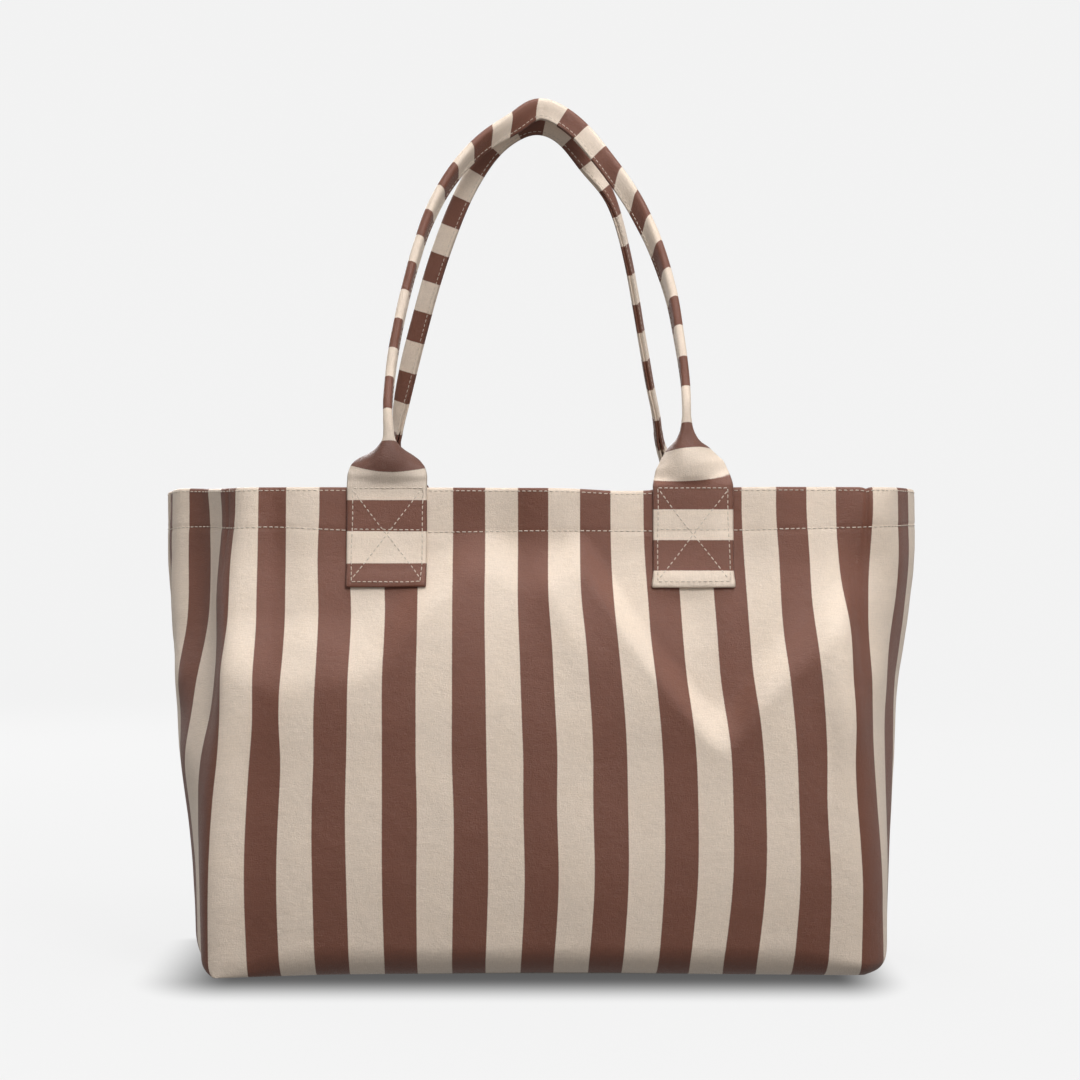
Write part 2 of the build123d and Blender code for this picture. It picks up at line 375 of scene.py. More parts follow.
def plain_cloth(name, col, pitch=0.5, rough=0.8, tone=0.12, sheen=0.2):
    g = Graph(name)
    vec, U, V = g.uv()
    umm, vmm = g.math("MULTIPLY", U, 25.0), g.math("MULTIPLY", V, 25.0)
    warp = g.noise(g.xyz(g.math("MULTIPLY", umm, 1.5), g.math("MULTIPLY", vmm, 0.15)), 1.0, 3.0)
    weft = g.noise(g.xyz(g.math("MULTIPLY", umm, 0.15), g.math("MULTIPLY", vmm, 1.5), 5.0), 1.0, 3.0)
    cloud = g.noise(g.xyz(umm, vmm, 2.0), 0.03, 3.0)
    w = weave(g, umm, vmm, pitch)
    t = g.math("ADD", g.math("MULTIPLY", g.math("SUBTRACT", warp, 0.5), tone * 1.4),
               g.math("MULTIPLY", g.math("SUBTRACT", weft, 0.5), tone * 1.4))
    t = g.math("ADD", t, g.math("MULTIPLY", g.math("SUBTRACT", cloud, 0.5), tone))
    # painted shade: the weave's hollows are a little darker
    t = g.math("ADD", t, g.math("MULTIPLY", g.math("SUBTRACT", w, 0.6), tone * 0.8))
    hsv = g.node("ShaderNodeHueSaturation")
    g.put(hsv.inputs["Value"], g.math("ADD", t, 1.0))
    hsv.inputs["Color"].default_value = col
    g.put(g.b.inputs["Base Color"], hsv.outputs[0])
    g.put(g.b.inputs["Roughness"], g.ramp(warp, 0.3, 0.7, rough + 0.06, rough - 0.06))
    g.b.inputs["Specular IOR Level"].default_value = 0.3
    g.b.inputs["Sheen Weight"].default_value = sheen
    n1 = g.bump(w, 0.00014, 0.8)
    n2 = g.bump(g.noise(g.xyz(umm, vmm, 9.0), 0.08, 3.0), 0.0012, 0.6, n1)
    g.put(g.b.inputs["Normal"], n2)
    return g.mat


def thread_mat():
    g = Graph("cotton_thread")
    vec, U, V = g.uv()
    twist = g.math("SINE", g.math("ADD", g.math("MULTIPLY", U, 16.0), g.math("MULTIPLY", V, 6.283)))
    n = g.noise(g.xyz(U, V), 9.0, 2.0)
    col = g.mix(g.ramp(n, 0.3, 0.7), lin(196, 181, 165), lin(214, 200, 184))
    # painted shade: the grooves of the twist are mixed towards a darker colour
    col = g.mix(g.ramp(twist, -1.0, 0.2, 0.25, 0.0), col, lin(150, 134, 118))
    g.put(g.b.inputs["Base Color"], col)
    g.put(g.b.inputs["Roughness"], g.ramp(n, 0.2, 0.8, 0.5, 0.65))
    g.b.inputs["Sheen Weight"].default_value = 0.2
    g.put(g.b.inputs["Normal"], g.bump(twist, 0.00008, 0.7))
    return g.mat


def solid_mat(name, col, scale, dist, rough, tone=0.15):
    """Board or nonwoven: object coordinates, no UV needed."""
    g = Graph(name)
    tc = g.node("ShaderNodeTexCoord")
    n = g.noise(tc.outputs["Object"], scale, 4.0, 0.6)
    n2 = g.noise(tc.outputs["Object"], scale * 0.1, 3.0, 0.5)
    hsv = g.node("ShaderNodeHueSaturation")
    g.put(hsv.inputs["Value"], g.math("ADD", g.math("MULTIPLY", g.math("SUBTRACT", n, 0.5), tone * 2),
                                      g.math("ADD", g.math("MULTIPLY", g.math("SUBTRACT", n2, 0.5), tone), 1.0)))
    hsv.inputs["Color"].default_value = col
    g.put(g.b.inputs["Base Color"], hsv.outputs[0])
    g.put(g.b.inputs["Roughness"], g.ramp(n, 0.3, 0.7, rough - 0.08, rough + 0.08))
    g.put(g.b.inputs["Normal"], g.bump(n, dist, 0.7))
    return g.mat


M_CANVAS = canvas("striped_canvas_body", 0.487, 0.487)
# the tuples (place, reach, depth) paint shade on the straps' necks, where they bend above the rim
M_STRAP = {-1: canvas("striped_canvas_front_strap", 1.5, 0.5, ((3.35, 1.5, 0.30), (31.3, 1.5, 0.16))),
           1: canvas("striped_canvas_back_strap", 1.5, 0.5, ((2.9, 1.5, 0.24), (28.3, 1.5, 0.20)))}
M_LINING = plain_cloth("lining_cotton_natural", lin(214, 199, 183), 0.45, 0.82)
M_THREAD = thread_mat()
M_LABEL = plain_cloth("label_satin_white", lin(232, 229, 224), 0.3, 0.42, 0.05, 0.1)
M_BOARD = solid_mat("base_board_grey", lin(150, 146, 140), 900.0, 0.0003, 0.6)
M_NONWOVEN = solid_mat("nonwoven_patch", lin(222, 220, 214), 1600.0, 0.0004, 0.85)

# ================================================================ shape of the body, in millimetres
# Cloth columns are counted in stripes of 25 mm from the left corner; every level gives where they stand.
KS = [-5.6, -5, -4, -3, -2, -1, 0, 1, 2, 4, 6, 8, 10, 12, 14, 16, 17, 18, 19, 20, 21, 22.6]
# level: (z, depth of the face, left gusset (x, y) x 6, face x x 12, right gusset (x, y) x 4)
LEVELS = [
    (353, -78, [(-282, 12), (-276, 1), (-262, -14), (-247, -31), (-233, -49), (-222, -68)],
     [-205, -184, -160, -112, -63, -16, 29, 75, 123, 171, 194, 215], [(243, -74), (262, -57), (275, -36), (277, 1)]),
    (337, -79, [(-282, 12), (-276, 1), (-262, -14), (-246, -31), (-232, -49), (-222, -69)],
     [-205, -184, -160, -112, -63, -16, 29, 75, 123, 171, 194, 215], [(243, -75), (262, -57), (275, -36), (278, 1)]),
    (301, -83, [(-282, 11), (-276, 0), (-262, -16), (-245, -33), (-234, -55), (-225, -75)],
     [-205, -184, -161, -113, -63, -16, 29, 76, 124, 173, 196, 217], [(241, -72), (262, -56), (275, -34), (278, 1)]),
    (272, -92, [(-279, 8), (-276, -4), (-261, -22), (-244, -40), (-235, -63), (-226, -85)],
     [-205, -184, -160, -112, -63, -16, 30, 78, 126, 174, 197, 220], [(240, -76), (260, -56), (272, -33), (275, 0)]),
    (243, -101, [(-278, 5), (-274, -9), (-263, -31), (-246, -50), (-234, -71), (-227, -94)],
     [-205, -184, -160, -112, -63, -15, 33, 80, 128, 176, 200, 223], [(240, -80), (256, -59), (268, -35), (271, 0)]),
    (215, -107, [(-274, 2), (-272, -14), (-267, -39), (-251, -59), (-235, -78), (-228, -101)],
     [-206, -185, -161, -113, -63, -14, 35, 83, 130, 179, 203, 224], [(241, -84), (254, -61), (264, -37), (268, 0)]),
    (186, -111, [(-271, 0), (-270, -17), (-265, -41), (-255, -64), (-239, -83), (-229, -105)],
     [-206, -186, -162, -113, -63, -13, 37, 86, 134, 182, 205, 226], [(241, -86), (252, -63), (262, -39), (265, -1)]),
    (158, -112, [(-268, -1), (-268, -17), (-265, -41), (-259, -65), (-245, -86), (-231, -107)],
     [-208, -185, -162, -113, -63, -12, 38, 88, 137, 184, 206, 226], [(242, -88), (252, -64), (261, -41), (263, -2)]),
    (129, -112, [(-263, 0), (-263, -14), (-262, -39), (-257, -62), (-247, -86), (-234, -107)],
     [-210, -186, -163, -113, -62, -12, 38, 89, 138, 185, 206, 227], [(244, -88), (253, -64), (260, -40), (261, -1)]),
    (72, -111, [(-257, 0), (-258, -12), (-256, -37), (-251, -61), (-246, -83), (-237, -105)],
     [-212, -188, -163, -113, -62, -11, 39, 89, 138, 186, 209, 231], [(248, -87), (255, -62), (258, -38), (258, 0)]),
    (22, -106, [(-255, 0), (-256, -8), (-255, -31), (-251, -55), (-246, -78), (-238, -100)],
     [-211, -187, -162, -112, -63, -13, 36, 86, 133, 183, 208, 231], [(249, -84), (254, -60), (256, -36), (257, 0)]),
]
LZ = np.array([lv[0] for lv in LEVELS][::-1], float)


def level_xy(lv):
    z, d, left, face, right = lv
    ys = [d + 3.5, d + 0.6, d] + [d] * 7 + [d + 0.4, d + 2.5]
    return np.array(left + list(zip(face, ys)) + right, float)


FRONT_TAB = np.array([level_xy(lv) for lv in LEVELS][::-1])          # (levels, columns, xy)
# the back hangs the same way without the front's exact skew: halfway to its own mirror image
mirror = FRONT_TAB[:, ::-1].copy()
km = 17.0 - np.array(KS[::-1])
MIR = np.array([spline(km, np.stack([-row[:, 0], row[:, 1]], -1), np.array(KS)) for row in mirror])
BACK_TAB = 0.35 * FRONT_TAB + 0.65 * MIR
BACK_TAB[..., 1] *= -1
BACK_TAB[:, 0], BACK_TAB[:, -1] = FRONT_TAB[:, 0], FRONT_TAB[:, -1]
for j, w in ((1, 0.75), (2, 0.45), (3, 0.2)):       # meets the front panel in the side seams
    BACK_TAB[:, j, 1] += w * (FRONT_TAB[:, 0, 1]) * 1.0
    BACK_TAB[:, j, 0] += -2.0 * w

# depth of the hem row below the rim, and the rim itself, by column
HEM_K = [-5.6, -3.4, -1.4, 0.4, 2.4, 6.5, 8, 12, 15, 16.4, 18.3, 20.5, 22.6]
HEM_Z = [322.5, 324.9, 323.7, 324.4, 322.5, 320.9, 321.5, 321.5, 322.3, 323.2, 324.1, 325.7, 325.9]
RIM_K = [-5.6, -5.2, -3, -1, 2, 5, 8, 10.2, 11.4, 12.4, 14, 16, 18, 20, 21.4, 22.6]
RIM_H = [350.6, 352.2, 353.0, 353.2, 353.4, 353.2, 352.8, 351.9, 350.6, 351.4, 353.0, 353.6, 353.6, 353.5, 353.0, 351.8]

# folds: (x0, z0, x1, z1, width, height) in mm; x runs from the middle of the face
FRONT_FOLDS = [
    (-7, 318, 36, 225, 13, 2.4), (20, 335, 22, 290, 9, -1.2), (78, 268, 108, 205, 14, 2.6), (108, 205, 134, 158, 18, 1.8),
    (112, 282, 128, 236, 17, -3.0), (150, 335, 146, 296, 12, 1.6), (138, 184, 190, 240, 14, 3.2), (190, 240, 228, 285, 13, 2.4), (-100, 256, -48, 312, 13, 2.8),
    (-182, 335, -186, 235, 13, -1.6), (-124, 250, -96, 262, 15, 1.8), (-196, 246, -150, 238, 13, 1.4), (-22, 310, -20, 240, 16, 1.0),
    (-206, 320, -212, 180, 12, 1.6), (-90, 180, -60, 110, 30, 0.9), (40, 190, 90, 80, 34, -1.0),
    (150, 120, 190, 40, 30, 0.9), (-190, 120, -150, 40, 30, -0.8), (205, 200, 218, 120, 14, -1.4),
]
BACK_FOLDS = [
    (-50, 325, -62, 240, 16, 3.0), (8, 330, 2, 245, 18, 2.8), (52, 325, 60, 250, 15, 2.4),
    (-22, 335, -24, 270, 11, -2.2), (30, 335, 30, 275, 10, -2.0), (-112, 278, -128, 235, 15, -2.6), (-140, 270, -168, 180, 18, 2.8), (110, 276, 112, 205, 18, 2.8),
    (150, 325, 156, 230, 16, 3.0), (130, 300, 134, 250, 12, -1.8), (184, 325, 190, 230, 14, -2.2),
    (-188, 325, -196, 220, 15, 2.6), (-165, 330, -166, 260, 12, -2.0), (60, 200, 20, 90, 34, 1.2),
    (-60, 170, -110, 80, 34, -1.0), (160, 150, 190, 50, 28, 1.0),
]
N_BIG = {-1: Noise2(11, 85), 1: Noise2(12, 85)}
N_MID = {-1: Noise2(21, 30), 1: Noise2(22, 30)}
N_FINE = {-1: Noise2(31, 9), 1: Noise2(32, 9)}
N_PUCK = {-1: Noise2(41, 7), 1: Noise2(42, 7)}


# height at which the face swings out from the part that hangs straight from rim and straps: (x, z)
DRAPE = {-1: [(-260, 236), (-222, 238), (-190, 232), (-150, 236), (-128, 236), (-108, 246), (-88, 268), (-62, 296), (-44, 304), (-20, 300), (0, 292),
              (22, 298), (38, 303), (52, 288), (74, 250), (104, 208), (130, 180), (158, 206), (196, 240), (224, 264), (250, 286)],
         1: [(-260, 280), (-220, 262), (-190, 236), (-160, 206), (-128, 186), (-104, 206), (-76, 250), (-50, 292), (-30, 300), (0, 294), (24, 300),
             (48, 296), (70, 270), (96, 240), (118, 226), (150, 236), (190, 232), (220, 240), (260, 240)]}


def drape(x, z, side):
    px, pz = np.array(DRAPE[side], float).T
    zt = spline(px, pz, np.clip(x, -259, 259).ravel()).reshape(np.shape(x))
    ww = 20 + 11 * bump(x, -175 * (-side), 62)
    sharp = 1 - sstep(-1, 1, (z - zt) / ww)
    wide = 1 - sstep(150, 316, z)
    return (13.5 if side < 0 else 8.5) * (1 - 0.46 * bump(x, -2, 50)) * (sharp - wide) * sstep(40, 150, z) * (1 - 0.6 * sstep(318, 336, z))


def ridge(x, z, f):
    x0, z0, x1, z1, w, h = f
    dx, dz = x1 - x0, z1 - z0
    t = np.clip(((x - x0) * dx + (z - z0) * dz) / (dx * dx + dz * dz), 0, 1)
    d2 = (x - x0 - t * dx) ** 2 + (z - z0 - t * dz) ** 2
    soft = 0.35 + 0.65 * np.sin(np.pi * np.clip(t, 0.04, 0.96)) ** 0.8
    return h * np.exp(-d2 / w ** 2) * soft


def hem_z(k, side):
    z = spline(HEM_K, HEM_Z, np.clip(k, -5.6, 22.6))
    return z if side < 0 else 323.4 + 0.5 * (z - 323.4)


def rim_z(k, side):
    z = spline(RIM_K, RIM_H, np.clip(k, -5.6, 22.6))
    if side > 0:
        kk = np.asarray(k)
        z = 353.2 - 1.6 * bump(kk, 6.2, 1.6) - 0.9 * bump(kk, 16.4, 1.2) - 2.0 * bump(kk, -5.6, 0.8) - 1.2 * bump(kk, 22.6, 1.0)
    else:
        z = z - 1.1 * bump(k, 18.8, 0.09)
    return z


def relief(k, z, side):
    """How far the cloth stands out of its smooth shape, in mm."""
    x = (k - 8.5) * 24.6
    face = sstep(-1.6, -0.2, k) * (1 - sstep(17.2, 18.6, k))
    d = 0
    for f in (FRONT_FOLDS if side < 0 else BACK_FOLDS):
        d = d + 0.8 * ridge(x, z, f)
    d = d + drape(x, z, side)
    # the stiff hem damps the folds but sways in and out between the straps
    hz = hem_z(k[0] if k.ndim > 1 else k, side)
    hem = sstep(-6, 10, z - hz)
    d = d * (1 - 0.55 * hem)
    top = sstep(200, 345, z)
    strap = np.maximum(bump(x, -111, 36), bump(x, 111, 36)) ** 1.0
    if side < 0:
        sway = (1.0 * bump(x, 6, 60) + 6.5 * bump(x, -14, 50) * np.clip((z - 316) / 37, 0, 1) + 2.2 * np.sin(x / 11.5 + 0.6) * bump(x, 0, 70)
                + 3.4 * bump(x, 183, 15) - 2.6 * bump(x, 152, 10) + 2.2 * bump(x, -160, 16) - 3.4 * bump(x, -196, 13))
    else:
        sway = (-4.5 * bump(x, -12, 48) + 2.4 * np.sin(x / 12.5 + 2.0) * bump(x, 0, 75)
                - 3.0 * bump(x, -165, 16) + 2.4 * bump(x, -192, 12) + 2.6 * bump(x, 166, 17) - 2.4 * bump(x, 196, 12))
    d = d * (1 - 0.8 * strap * sstep(268, 290, z)) + sway * top * (1 - strap)
    d = d * face
    # corner folds and gussets
    gus = 1 - face
    if side < 0:
        d = d + gus * sstep(120, 330, z) * (1.8 * np.sin((k + 0.3) * 2.6) + 0.6 * np.sin(z / 23.0 + k))
        d = d - 1.0 * bump(k, 18.8, 0.06) * sstep(300, 330, z) - 0.9 * bump(k, -1.55, 0.1) * sstep(270, 330, z)
    else:
        d = d + gus * sstep(120, 330, z) * (1.6 * np.sin(k * 2.3 + 1.0) + 0.6 * np.sin(z / 27.0 - k))
        d = d - 3.0 * np.maximum(bump(x, -90, 17), 0.6 * bump(x, 76, 17)) * bump(z, 214, 48)      # room for the lowered grip
    low = sstep(2, 60, z)
    d = d + low * (1.0 * N_BIG[side](k * 25, z) + 0.42 * N_MID[side](k * 25, z * 0.7) + 0.11 * N_FINE[side](k * 25, z))
    # rows of stitches pull the cloth in and pucker it a little
    d = d - 0.42 * bump(z, hz, 1.7) + 0.20 * bump(z, hz + 5, 6) * N_PUCK[side](k * 25, z * 0.25) \
        + 0.30 * bump(z, hz - 5, 8) * N_PUCK[side](k * 25 + 300, z * 0.2)
    rz = rim_z(k[0] if k.ndim > 1 else k, side)
    d = d - 0.30 * bump(z, rz - 2.4, 1.3) + 0.16 * bump(z, rz - 5, 5) * N_PUCK[side](k * 25, z * 0.3 + 90)
    # the cloth turns into the side seams
    edge = np.minimum(k + 5.6, 22.6 - k) * 25
    d = d - 2.6 * np.exp(-(edge / 2.6) ** 2) - 0.5 * np.exp(-(edge / 12.0) ** 2) \
        + 0.35 * np.exp(-((edge - 9) / 9.0) ** 2) * N_PUCK[side](z, k * 10)
    return d


class Panel:
    """One outer panel as a function of (column k, height z)."""

    def __init__(self, side, ks):
        self.side, self.k = side, np.asarray(ks, float)
        tab = FRONT_TAB if side < 0 else BACK_TAB
        self.lv = np.stack([spline(KS, row, self.k) for row in tab])      # (levels, nk, 2)
        self.m = spline_m(LZ, self.lv)

    def smooth(self, z):
        """z (nz, nk) -> xy (nz, nk, 2)."""
        i = np.clip(np.searchsorted(LZ, z) - 1, 0, len(LZ) - 2)
        h = LZ[i + 1] - LZ[i]
        s = np.clip((z - LZ[i]) / h, -0.6, 1.6)
        c = np.arange(len(self.k))[None, :]
        a, b, q = (1 - s)[..., None], s[..., None], (h * h / 6)[..., None]
        return a * self.lv[i, c] + b * self.lv[i + 1, c] + ((a ** 3 - a) * self.m[i, c] + (b ** 3 - b) * self.m[i + 1, c]) * q

    def out(self, xy):
        """Outward horizontal normals along each row."""
        t = np.gradient(xy, self.k, axis=-2)
        n = np.stack([t[..., 1], -t[..., 0]], -1) * (1 if self.side < 0 else -1)
        return unit(n)

    def wall(self, z, inset=0.0, rough=1.0):
        xy = self.smooth(z)
        n = self.out(xy)
        k = np.broadcast_to(self.k, z.shape)
        d = relief(k, z, self.side) * rough - inset
        return xy + n * d[..., None], n


COLS = np.unique(np.round(np.concatenate([
    np.linspace(-5.6, 22.6, 235), [-5.58, -5.54, -5.5, 22.58, 22.54, 22.5],
    18.8 + np.array([-0.18, -0.1, -0.05, 0, 0.05, 0.1, 0.18]), -1.55 + np.array([-0.14, -0.07, 0, 0.07, 0.14])]), 4))
HEM_IN = 320.0                      # lower edge of the turned hem, inside
FOLD_R = 1.8


def foot(k, side):
    """Where each column meets the ground line: front edge y by column, and gusset feet."""
    k = np.asarray(k, float)
    yf = spline([-1, 0, 2, 5, 9, 13, 16, 17.4, 18.2], [-99, -93, -80, -74, -71, -74, -78, -80, -80], np.clip(k, -1, 18.2))
    if side > 0:
        yf = spline([-1, 0.5, 4, 9, 13, 16.5, 18.2], [-86, -79, -74, -71, -74, -80, -88], np.clip(k, -1, 18.2))
    x = (np.clip(k, -1, 18.2) - 8.6) * 24.4
    y = yf.copy()
    lf, rt = k < -1, k > 18.2
    tl, tr = np.clip((-1 - k) / 4.6, 0, 1), np.clip((k - 18.2) / 4.4, 0, 1)
    y = np.where(lf, yf * (1 - tl), y)
    y = np.where(rt, yf * (1 - tr), y)
    x = np.where(lf, x - 3.5 * np.sin(tl * np.pi / 2), x)
    x = np.where(rt, x + 4.5 * np.sin(tr * np.pi / 2), x)
    return np.stack([x, -side * y if side > 0 else y], -1)


def turn_h(k, side):
    """Height at which the wall starts to turn under."""
    k = np.asarray(k, float)
    face = sstep(-1.2, 2.5, k) * (1 - sstep(15.5, 18.3, k))
    gus = np.maximum(1 - sstep(-3.0, -1.6, k), sstep(18.8, 20.2, k))
    return 12 + 12 * face + 14 * gus


def outer_panel(side, name):
    pn = Panel(side, COLS)
    k = pn.k
    nk = len(k)
    rz, th = rim_z(k, side), turn_h(k, side)
    rows, svals = [], []
    # inside of the hem, upwards
    hin = HEM_IN + 0.5 * (hem_z(k, side) - 323.0)
    for v in np.linspace(0, 1, 12):
        z = hin + (rz - FOLD_R - hin) * v
        xy, n = pn.wall(z[None], inset=2 * FOLD_R)
        rows.append(np.concatenate([xy[0], z[:, None]], -1))
    # over the rim
    z = (rz - FOLD_R)[None]
    xy, n = pn.wall(z)
    for a in np.linspace(0, math.pi, 8)[1:-1][::-1]:
        q = xy[0] - n[0] * FOLD_R * (1 - math.cos(a))
        rows.append(np.concatenate([q, (z[0] + FOLD_R * math.sin(a))[:, None]], -1))
    # the wall, downwards
    v = np.concatenate([np.linspace(0, 0.105, 20)[:-1], np.linspace(0.105, 1, 104)])
    Z = (rz - FOLD_R)[None] + (th - rz + FOLD_R)[None] * v[:, None]
    xy, n = pn.wall(Z)
    wall_rows = np.concatenate([xy, Z[..., None]], -1)
    rows += list(wall_rows)
    # turning under
    slope = (xy[-1] - xy[-2]) / (Z[-1] - Z[-2])[:, None]
    ft = foot(k, side)
    for a in np.linspace(0, math.pi / 2, 13)[1:]:
        z = th * (1 - math.sin(a))
        q = xy[-1] + (ft - xy[-1]) * (1 - math.cos(a)) + slope * (z - th)[:, None] * math.cos(a) ** 2
        rows.append(np.concatenate([q, z[:, None]], -1))
    P = np.array(rows)
    seg = np.linalg.norm(np.diff(P, axis=0), axis=-1)
    s = np.concatenate([np.zeros((1, nk)), np.cumsum(seg, 0)])
    s = s - s[:, nk // 2][:, None] * 0
    UV = np.stack([np.broadcast_to(k + (0.0 if side < 0 else 0.62), s.shape), s / 25.0], -1)
    V = [P.reshape(-1, 3)]
    T = [UV.reshape(-1, 2)]
    F = [grid_faces(len(rows), nk, 0, flip=side < 0)]
    # base half, from the ground line to the middle seam
    sel = np.where((k >= -1.0) & (k <= 18.2))[0]
    last = P[-1][sel]
    nb = 22
    base = []
    for t in np.linspace(0, 1, nb):
        q = last.copy()
        q[:, 1] = last[:, 1] * (1 - t)
        q[:, 2] = 0.9 * np.sin(np.pi * t) * 0.35 + 0.5 * np.exp(-((1 - t) * abs(last[:, 1]).mean() / 3.0) ** 2)
        base.append(q)
    base = np.array(base)
    base[0] = last
    sb = s[-1][sel][None] + np.abs(base[:, :, 1] - base[:1, :, 1])
    nprev = sum(len(a) for a in V)
    V.append(base[1:].reshape(-1, 3))
    T.append(np.stack([np.broadcast_to(k[sel] + (0.0 if side < 0 else 0.62), sb.shape), sb / 25.0], -1)[1:].reshape(-1, 2))
    ns = len(sel)
    F.append(grid_faces(nb - 1, ns, nprev, flip=side < 0))
    join = []
    row0 = (len(rows) - 1) * nk
    for j in range(ns - 1):
        a, b = row0 + sel[j], row0 + sel[j + 1]
        c, d = nprev + j + 1, nprev + j
        join.append((a, b, c, d) if side > 0 else (a, d, c, b))
    F.append(np.array(join))
    ob = make_mesh(name, np.concatenate(V), np.concatenate(F), np.concatenate(T), mat=M_CANVAS)
    area = float(sum(p.area for p in ob.data.polygons))
    solidify(ob, 1.1)
    return ob, pn, wall_rows, area


class Face:
    """The finished face of a panel as y(x, z), for what is sewn on it."""

    def __init__(self, side, rows, k):
        m = (k > -1.2) & (k < 18.4)
        self.side, self.rows = side, rows[:, m][:, :, :]
        self.z = rows[:, m, 2]

    def y(self, x, z):
        x, z = np.broadcast_arrays(np.asarray(x, float), np.asarray(z, float))
        out = np.empty(x.shape)
        it = np.nditer(x, flags=["multi_index"])
        for xv in it:
            i = it.multi_index
            zv = z[i]
            j = np.argmin(np.abs(self.rows[60, :, 0] - float(xv)))
            zz = self.z[:, j]
            r = int(np.clip(np.searchsorted(-zz, -zv) - 1, 0, len(zz) - 2))
            ys = []
            for rr in (r, r + 1):
                ys.append(np.interp(float(xv), self.rows[rr, :, 0], self.rows[rr, :, 1]))
            t = (zz[r] - zv) / (zz[r] - zz[r + 1])
            out[i] = ys[0] + (ys[1] - ys[0]) * t
        return out

    def at(self, x, z):
        """Point and outward normal."""
        e = 3.0
        y = self.y(x, z)
        dx = (self.y(x + e, z) - self.y(x - e, z)) / (2 * e)
        dz = (self.y(x, np.minimum(z + e, 350)) - self.y(x, z - e)) / (np.minimum(z + e, 350) - z + e)
        s = self.side
        n = unit(np.stack([-s * dx, np.full_like(y, s), -s * dz], -1))
        return np.stack(np.broadcast_arrays(x, y, z), -1), n


outer_f, pn_f, rows_f, area_f = outer_panel(-1, "outer_front_cloth")
outer_b, pn_b, rows_b, area_b = outer_panel(1, "outer_back_cloth")
FACE = {-1: Face(-1, rows_f, pn_f.k), 1: Face(1, rows_b, pn_b.k)}
for ob, node, area in ((outer_f, "outer_front_panel", area_f), (outer_b, "outer_back_panel", area_b)):
    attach(ob, "bag")
    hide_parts(node)

# ================================================================ rows of stitches round the rim


def ring_run(pn, side, zfun, out, k0=-5.52, k1=22.52, skip=True, inner=False):
    """Polylines along a row of constant depth, left open where the straps cover it."""
    kk = np.linspace(k0, k1, 900)
    p2 = Panel(side, kk)
    z = zfun(kk)
    xy, n = p2.wall(z[None], inset=2 * FOLD_R if inner else 0.0)
    if inner:
        n = -n
    P = np.concatenate([xy[0] + n[0] * out, z[:, None]], -1)
    N = np.concatenate([n[0], np.zeros((len(kk), 1))], -1)
    keep = np.ones(len(kk), bool)
    if skip:
        for c in (-111, 111):
            keep &= ~((np.abs(P[:, 0] - c) < 28.9) & (np.abs(P[:, 1]) > 55))
    runs, cur = [], []
    for i, ok in enumerate(keep):
        if ok:
            cur.append(i)
        if (not ok or i == len(kk) - 1) and len(cur) > 8:
            runs.append((P[cur], N[cur]))
            cur = []
        elif not ok:
            cur = []
    return runs


rim_runs, hem_runs = [], []
for side, pn in ((-1, pn_f), (1, pn_b)):
    rim_runs += ring_run(pn, side, lambda kk, s=side: rim_z(kk, s) - 2.4, 0.16)
    hem_runs += ring_run(pn, side, lambda kk, s=side: hem_z(kk, s), 0.18)
    hem_runs += ring_run(pn, side, lambda kk, s=side: hem_z(kk, s), 0.18, inner=True, skip=False)
rim_st = pearls("rim_stitches", rim_runs, M_THREAD, r=0.34, dash=2.8, pitch=4.1, seed=5)
hem_st = pearls("hem_stitches", hem_runs, M_THREAD, r=0.38, dash=3.0, pitch=4.2, seed=6)
for ob, node in ((rim_st, "rim_stitch_row"), (hem_st, "hem_stitch_row")):
    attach(ob, "bag")
    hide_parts(node)

# ================================================================ lining


